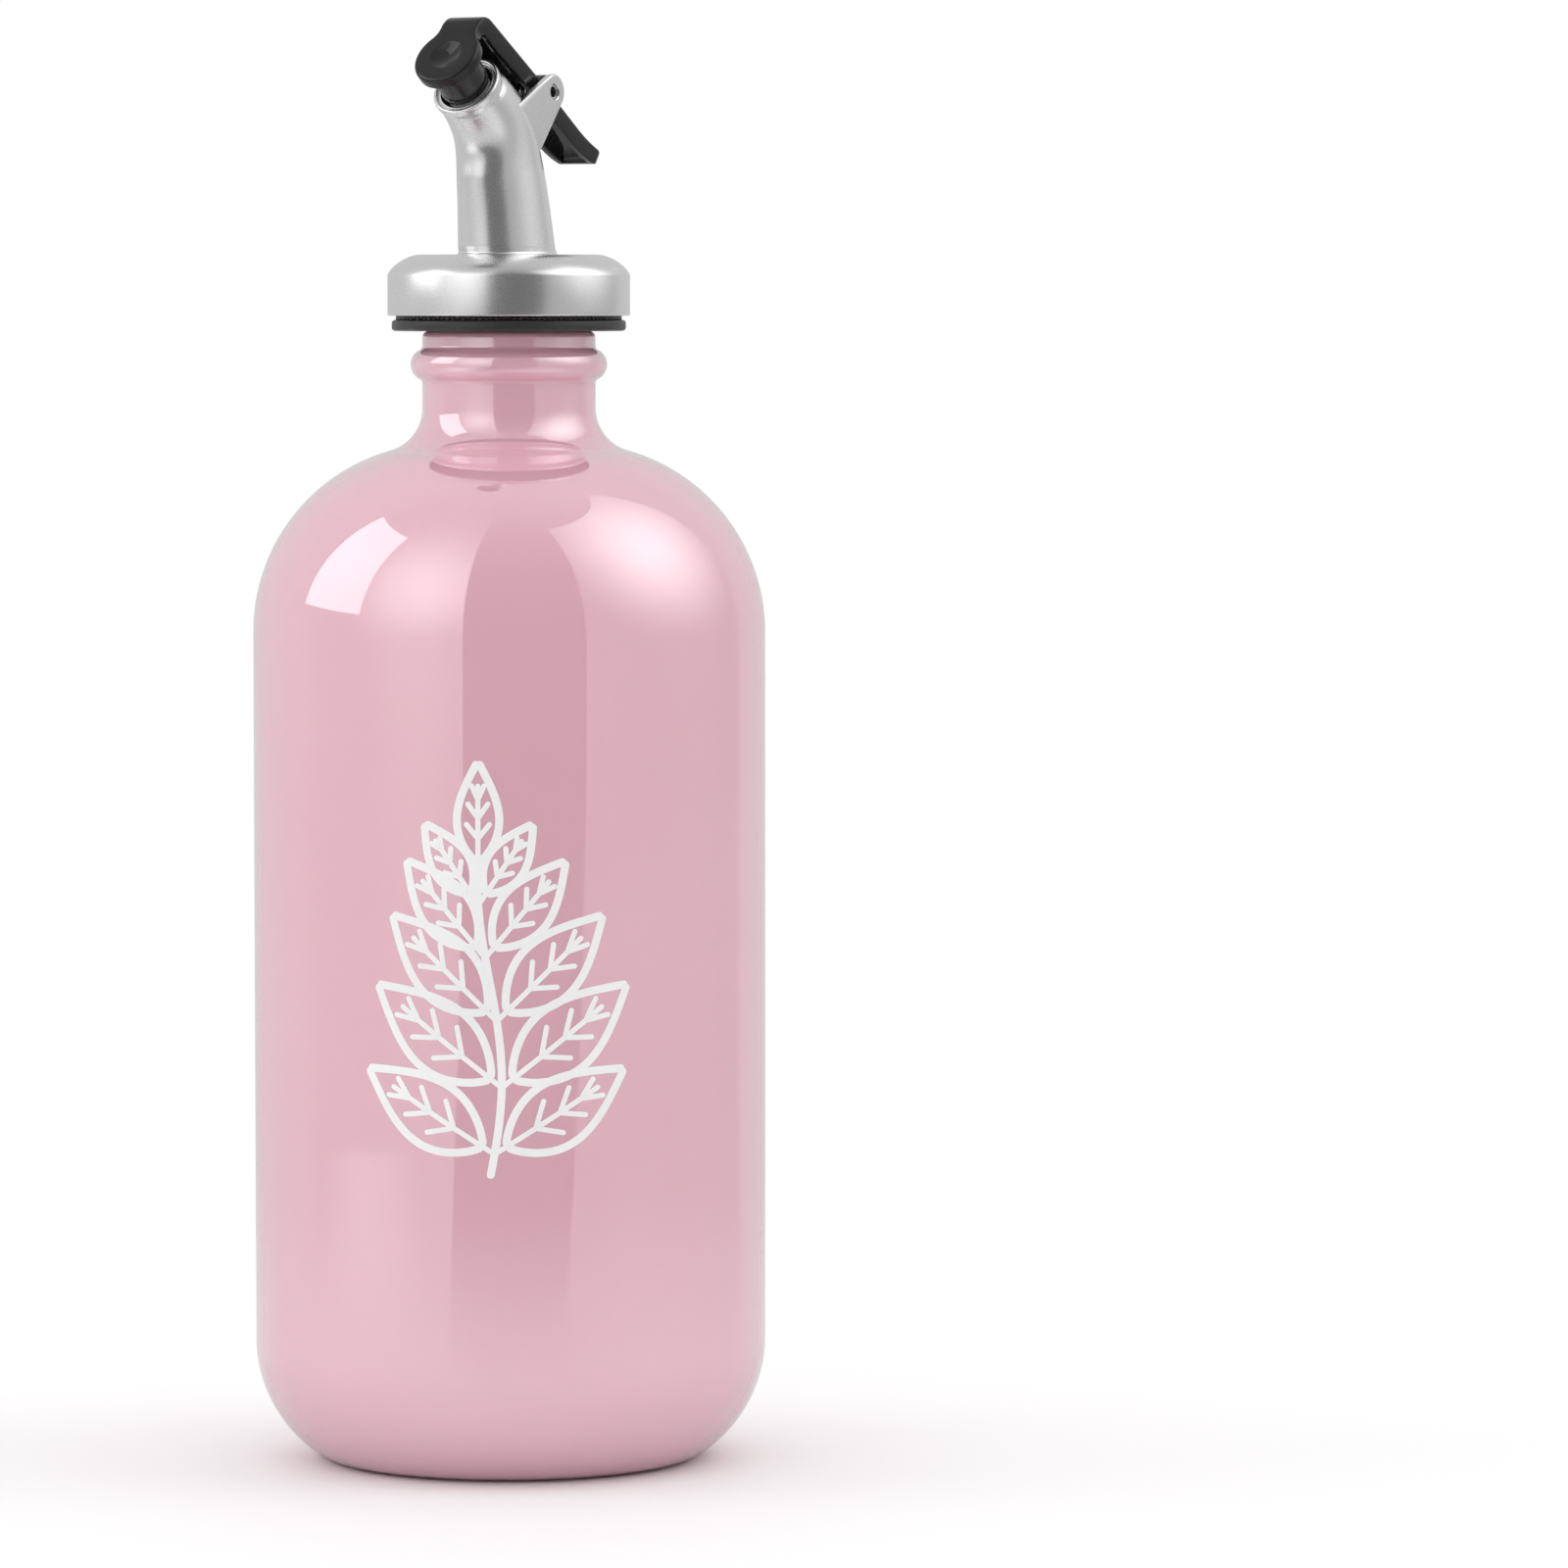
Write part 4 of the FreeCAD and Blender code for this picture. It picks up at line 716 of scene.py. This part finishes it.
# arm: a section with rounded back edges and a channel beneath, carried from the tail round the bend to the head
def armGrid(v):
    nose = np.radians(np.linspace(90, 0, leverSteps["nose"]))
    ends = np.radians(np.linspace(0, 90, leverSteps["ends"]))
    tail = v["tail"] - v["tailRound"] * (1 - np.sin(nose))
    heel = v["channelFrom"] - v["channelRound"] * (1 - np.cos(ends))
    front = v["channelTo"] + v["channelRound"] * (1 - np.cos(ends[::-1]))
    middle = np.concatenate([
        np.linspace(heel[-1] - v["rowGap"], v["hubFar"], leverSteps["back"]),
        np.linspace(v["hubNear"], -v["hubNear"], leverSteps["hub"]),
        np.linspace(-v["hubFar"], front[0] + v["rowGap"], leverSteps["front"]),
    ])
    y = np.concatenate([tail, heel, middle, front])
    shrink = np.concatenate([v["tailRound"] * (1 - np.cos(nose)), np.zeros(len(y) - len(tail))])
    hollow = np.concatenate([0 * tail, np.sin(ends), 0 * middle + 1, np.sin(ends[::-1])])
    top, under, floor = armHeights(y, v)
    back = np.stack([y, top - v["tailPinch"] * shrink], -1)
    belly = np.stack([y, under + v["tailPinch"] * shrink], -1)
    roof = np.stack([y, floor], -1)
    # the bend: an outer arc and an inner corner drawn as a quadratic curve
    share, nod = np.linspace(0, 1, leverSteps["bend"] + 1)[:, None], math.radians(v["nod"])
    low = v["under"] - v["droop"]
    bendCentre = (v["bendAt"] - v["droop"] * math.tan(nod), v["top"] - v["droop"] - v["bend"])
    outer = arc(bendCentre, v["bend"], 90, 180 - v["nod"], leverSteps["bend"])
    cornerUp = (low - v["above"] + v["thick"] * math.sin(nod)) / math.cos(nod)
    first, corner = np.array([v["bendAt"] - v["innerFrom"], low]), np.array(onFace(cornerUp, v["thick"]))
    last = np.array(onFace(cornerUp - v["innerTo"], v["thick"]))
    inner = (1 - share) ** 2 * first + 2 * share * (1 - share) * corner + share ** 2 * last
    # its last rows end inside the head's plate
    lower = np.array([(onFace(up, v["sink"]), onFace(down, v["thick"] - v["sink"])) for up, down in v["join"]])
    back = np.concatenate([back, outer, lower[:, 0]])
    belly = np.concatenate([belly, inner, lower[:, 1]])
    extra = len(outer) + len(lower)
    roof = np.concatenate([roof, np.zeros((extra, 2))])
    hollow = np.concatenate([hollow, np.zeros(extra)])
    narrow = np.concatenate([shrink, np.zeros(len(outer)), v["joinNarrow"]])
    swing = np.radians(np.linspace(0, 90, leverSteps["round"]))
    grid = []
    for k in range(len(back)):
        depth = back[k] - belly[k]
        size = np.linalg.norm(depth)
        up = depth / size
        wide = v["half"] - narrow[k]
        edge, small = min(v["edge"], size / 2), min(v["small"], size / 4)
        right = [(wide - edge + edge * math.sin(a), size - edge + edge * math.cos(a)) for a in swing]
        right += [(wide - small + small * math.cos(a), small - small * math.sin(a)) for a in swing]
        reach = (roof[k] - belly[k]) @ up * hollow[k]
        within = min(v["channelHalf"], wide - 2 * small)
        right += [(within + small, 0.0), (within, small * hollow[k]), (within, reach), (within / 2, reach)]
        loop = right + [(-x, h) for x, h in right[::-1]]
        x, h = np.array(loop).T
        spot = belly[k] + h[:, None] * up
        grid.append(leverPlace(x, spot[:, 0], spot[:, 1]))
    closing = [grid[end].mean(0) + 0 * grid[end] for end in (0, -1)]   # both ends run together in a point
    return np.array([closing[0], *grid, closing[1]])


# side boss of the hub: a ring about the pivot
def bossGrid(side, v):
    root = v["half"] - v["bossSink"]
    line = roundedLine([(v["pinHole"], root, 0), (v["hub"], root, 0), (v["hub"], v["hubHalf"], v["hubRound"]),
                        (v["pinHole"], v["hubHalf"], v["holeRound"])], closed=True)
    ring = turned(line, v["bossTurns"])
    return np.stack([side * ring[..., 2], pivot[0] + ring[..., 0], pivot[1] + ring[..., 1]], -1)


leverSkins = [skin(headGrid(lever)), skin(armGrid(lever))]
leverSkins += [skin(bossGrid(side, lever), ringRows=True) for side in (-1, 1)]
leverPiece = makePiece("lever_black", makeMesh("lever_black", leverSkins, sharp=32), leverLook)
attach(leverPiece, "lever_arm")
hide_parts("lever")

plug = {"stud": 1.6, "studTop": 5.8, "seat": 4.9, "waist": 4.1, "step": 4.5, "stepTop": 4.65, "stepLow": 4.0,
        "stepRound": 0.25, "tip": 3.7, "tipLow": -0.1, "dome": 7.0, "domeSteps": 14, "turns": 96}


# turned about the mouth's axis: stud, waist, step, tip and a shallow dome
def plugLine(p):
    sag = p["dome"] - math.sqrt(p["dome"] ** 2 - p["tip"] ** 2)
    radius = np.linspace(p["tip"], 0, p["domeSteps"])
    dome = p["tipLow"] - sag + p["dome"] - np.sqrt(p["dome"] ** 2 - radius ** 2)
    body = roundedLine([(0, p["studTop"], 0), (p["stud"], p["studTop"], 0), (p["stud"], p["seat"], 0),
                        (p["waist"], p["seat"], 0), (p["waist"], p["stepTop"], 0),
                        (p["step"], p["stepTop"], p["stepRound"]), (p["step"], p["stepLow"], p["stepRound"]),
                        (p["tip"], p["stepLow"], 0), (p["tip"], p["tipLow"], 0)])
    return np.concatenate([body, np.stack([radius, dome], -1)[1:]])


plugGrid = leaned(turned(plugLine(plug), plug["turns"]), mouthCentre, mouthLean)
plugPiece = makePiece("plug_rubber", makeMesh("plug_rubber", [skin(plugGrid)], sharp=32), plugLook)
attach(plugPiece, "lever_arm")
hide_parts("lever_plug")
print("lever and plug made")

shot = {"azimuth": 33.5, "distance": 1.15, "height": 0.172, "aimAside": 0.0402, "aimHeight": 0.0988, "lens": 180.4,
        "sensor": 36}
azimuth = math.radians(shot["azimuth"])
toCamera = Vector((math.sin(azimuth), -math.cos(azimuth), 0))
aside = Vector((math.cos(azimuth), math.sin(azimuth), 0))
cameraData = bpy.data.cameras.new("camera")
cameraData.lens = shot["lens"]
cameraData.sensor_width = shot["sensor"]
camera = bpy.data.objects.new("camera", cameraData)
scene.collection.objects.link(camera)
camera.location = toCamera * shot["distance"] + Vector((0, 0, shot["height"]))
aim = aside * shot["aimAside"] + Vector((0, 0, shot["aimHeight"]))
camera.rotation_mode = "QUATERNION"
camera.rotation_quaternion = (aim - camera.location).to_track_quat("-Z", "Y")
scene.camera = camera

# curved light panels on a sphere round the bottle: turn from the camera's side and elevation, in degrees; low down
# the two upright edges slide aside, and each panel is its base light with a soft glow about one place
panels = {
    "panelLeft": {"turn": (-95, -20.5), "slide": (0, -26), "rise": (-52, 75),
                  "glowAt": (-42, 28), "base": 0.6, "glow": 1.0, "spread": 0.95},
    "panelRight": {"turn": (34, 124), "slide": (-36, 0), "rise": (-52, 66),
                   "glowAt": (84, 41), "base": 0.5, "glow": 1.8, "spread": 1.05},
    "panelWindow": {"turn": (-106, -71), "slide": (0, 0), "rise": (10, 52),
                    "glowAt": (-90, 33), "base": 2.0, "glow": 0.2, "spread": 0.6},
    "lowLeft": {"turn": (-95, -21), "slide": (0, -26), "rise": (-52, -10),
                "glowAt": (-66, -32), "base": 0.6, "glow": 0.8, "spread": 0.78},
    "lowRight": {"turn": (34, 124), "slide": (-36, 0), "rise": (-52, -10),
                 "glowAt": (56, -40), "base": 0.5, "glow": 0.6, "spread": 0.75},
}
panelSphere = {"radius": 1.3, "height": 0.13, "rows": 33, "columns": 17, "nest": 0.01,
               "slideFrom": -6.0, "slideOver": 26.0}


# point of the panel sphere: radius times the direction of turn and elevation
def onSphere(turn, rise):
    heading, lift = azimuth + np.radians(turn), np.radians(rise)
    way = np.stack([np.sin(heading) * np.cos(lift), -np.cos(heading) * np.cos(lift), np.sin(lift)], -1)
    return way * panelSphere["radius"] + np.array([0, 0, panelSphere["height"]])


for order, (name, panel) in enumerate(panels.items()):
    rise = np.linspace(*panel["rise"], panelSphere["rows"])[:, None]
    low = np.clip((panelSphere["slideFrom"] - rise) / panelSphere["slideOver"], 0, 1)
    first, last = (edge + shift * low for edge, shift in zip(panel["turn"], panel["slide"]))
    turn = first + (last - first) * np.linspace(0, 1, panelSphere["columns"])
    rise = rise + 0 * turn
    grid = onSphere(turn, rise) * (1 - panelSphere["nest"] * order)   # later panels lie inside earlier ones
    quads = gridQuads(panelSphere["rows"], panelSphere["columns"], False, False)
    mesh = bpy.data.meshes.new(name)
    mesh.from_pydata(grid.reshape(-1, 3).tolist(), [], quads.tolist())
    light = bpy.data.objects.new(name, mesh)
    scene.collection.objects.link(light)
    light.visible_camera = False
    light.visible_transmission = False
    look = bpy.data.materials.new(name)
    look.use_nodes = True
    nodes, links = look.node_tree.nodes, look.node_tree.links
    nodes.remove(nodes["Principled BSDF"])
    place, far = nodes.new("ShaderNodeTexCoord"), nodes.new("ShaderNodeVectorMath")
    far.operation = "DISTANCE"
    far.inputs[1].default_value = onSphere(*np.array(panel["glowAt"], float))
    links.new(place.outputs["Object"], far.inputs[0])
    fall = nodes.new("ShaderNodeMapRange")
    fall.interpolation_type = "SMOOTHSTEP"
    fall.inputs["From Max"].default_value = panel["spread"]
    fall.inputs["To Min"].default_value = panel["base"] + panel["glow"]
    fall.inputs["To Max"].default_value = panel["base"]
    links.new(far.outputs["Value"], fall.inputs["Value"])
    emission = nodes.new("ShaderNodeEmission")
    links.new(fall.outputs["Result"], emission.inputs["Strength"])
    links.new(emission.outputs["Emission"], nodes["Material Output"].inputs["Surface"])
    mesh.materials.append(look)

# white for the camera and through glass, an even level for light, and for reflections a room that is darker
# on the camera's side
room = {"front": 0.18, "back": 0.66, "level": 1.1, "turnFrom": -0.95, "turnTo": 0.35}
world = bpy.data.worlds.new("studio")
scene.world = world
world.use_nodes = True
worldNodes, worldLinks = world.node_tree.nodes, world.node_tree.links
backdrop = worldNodes["Background"]
heading = worldNodes.new("ShaderNodeTexCoord")
facing = worldNodes.new("ShaderNodeVectorMath")
facing.operation = "DOT_PRODUCT"
facing.inputs[1].default_value = -toCamera
worldLinks.new(heading.outputs["Generated"], facing.inputs[0])
roomTone = worldNodes.new("ShaderNodeMapRange")
roomTone.interpolation_type = "SMOOTHSTEP"
roomTone.inputs["From Min"].default_value = room["turnFrom"]
roomTone.inputs["From Max"].default_value = room["turnTo"]
roomTone.inputs["To Min"].default_value = room["front"]
roomTone.inputs["To Max"].default_value = room["back"]
worldLinks.new(facing.outputs["Value"], roomTone.inputs["Value"])
rays = worldNodes.new("ShaderNodeLightPath")
seen = worldNodes.new("ShaderNodeMath")
seen.operation = "MAXIMUM"
worldLinks.new(rays.outputs["Is Camera Ray"], seen.inputs[0])
worldLinks.new(rays.outputs["Is Transmission Ray"], seen.inputs[1])
mirrored = worldNodes.new("ShaderNodeMix")
mirrored.inputs["A"].default_value = room["level"]
worldLinks.new(rays.outputs["Is Glossy Ray"], mirrored.inputs["Factor"])
worldLinks.new(roomTone.outputs["Result"], mirrored.inputs["B"])
shade = worldNodes.new("ShaderNodeMix")
shade.inputs["B"].default_value = 1.0
worldLinks.new(seen.outputs["Value"], shade.inputs["Factor"])
worldLinks.new(mirrored.outputs["Result"], shade.inputs["A"])
worldLinks.new(shade.outputs["Result"], backdrop.inputs["Color"])
world.cycles.sampling_method = "NONE"

# floor: a pale sheet just under the bottle that fades out round it, greyer where it is only mirrored
floorRule = {"half": 0.6, "below": 0.0002, "clear": 0.10, "gone": 0.40, "rough": 0.6,
             "pale": (0.93, 0.93, 0.93, 1), "mirrored": (0.66, 0.66, 0.66, 1)}
floorMesh = bpy.data.meshes.new("floor")
reach = floorRule["half"]
floorMesh.from_pydata([(-reach, -reach, 0), (reach, -reach, 0), (reach, reach, 0), (-reach, reach, 0)], [],
                      [(0, 1, 2, 3)])
floor = bpy.data.objects.new("floor", floorMesh)
scene.collection.objects.link(floor)
floor.location.z = -floorRule["below"]
floorLook = bpy.data.materials.new("paleFloor")
floorLook.use_nodes = True
floorNodes, floorLinks = floorLook.node_tree.nodes, floorLook.node_tree.links
floorShader = floorNodes["Principled BSDF"]
floorRays = floorNodes.new("ShaderNodeLightPath")
floorTone = floorNodes.new("ShaderNodeMix")
floorTone.data_type = "RGBA"
floorTone.inputs["A"].default_value = floorRule["pale"]
floorTone.inputs["B"].default_value = floorRule["mirrored"]
floorLinks.new(floorRays.outputs["Is Glossy Ray"], floorTone.inputs["Factor"])
floorLinks.new(floorTone.outputs["Result"], floorShader.inputs["Base Color"])
floorShader.inputs["Roughness"].default_value = floorRule["rough"]
floorPlace = floorNodes.new("ShaderNodeTexCoord")
away = floorNodes.new("ShaderNodeVectorMath")
away.operation = "LENGTH"
floorLinks.new(floorPlace.outputs["Object"], away.inputs[0])
fade = floorNodes.new("ShaderNodeMapRange")
fade.interpolation_type = "SMOOTHSTEP"
fade.inputs["From Min"].default_value = floorRule["clear"]
fade.inputs["From Max"].default_value = floorRule["gone"]
fade.inputs["To Min"].default_value = 1.0
fade.inputs["To Max"].default_value = 0.0
floorLinks.new(away.outputs["Value"], fade.inputs["Value"])
floorLinks.new(fade.outputs["Result"], floorShader.inputs["Alpha"])
floorMesh.materials.append(floorLook)
scene.view_settings.view_transform = "Standard"
print("camera, lamps and floor set")
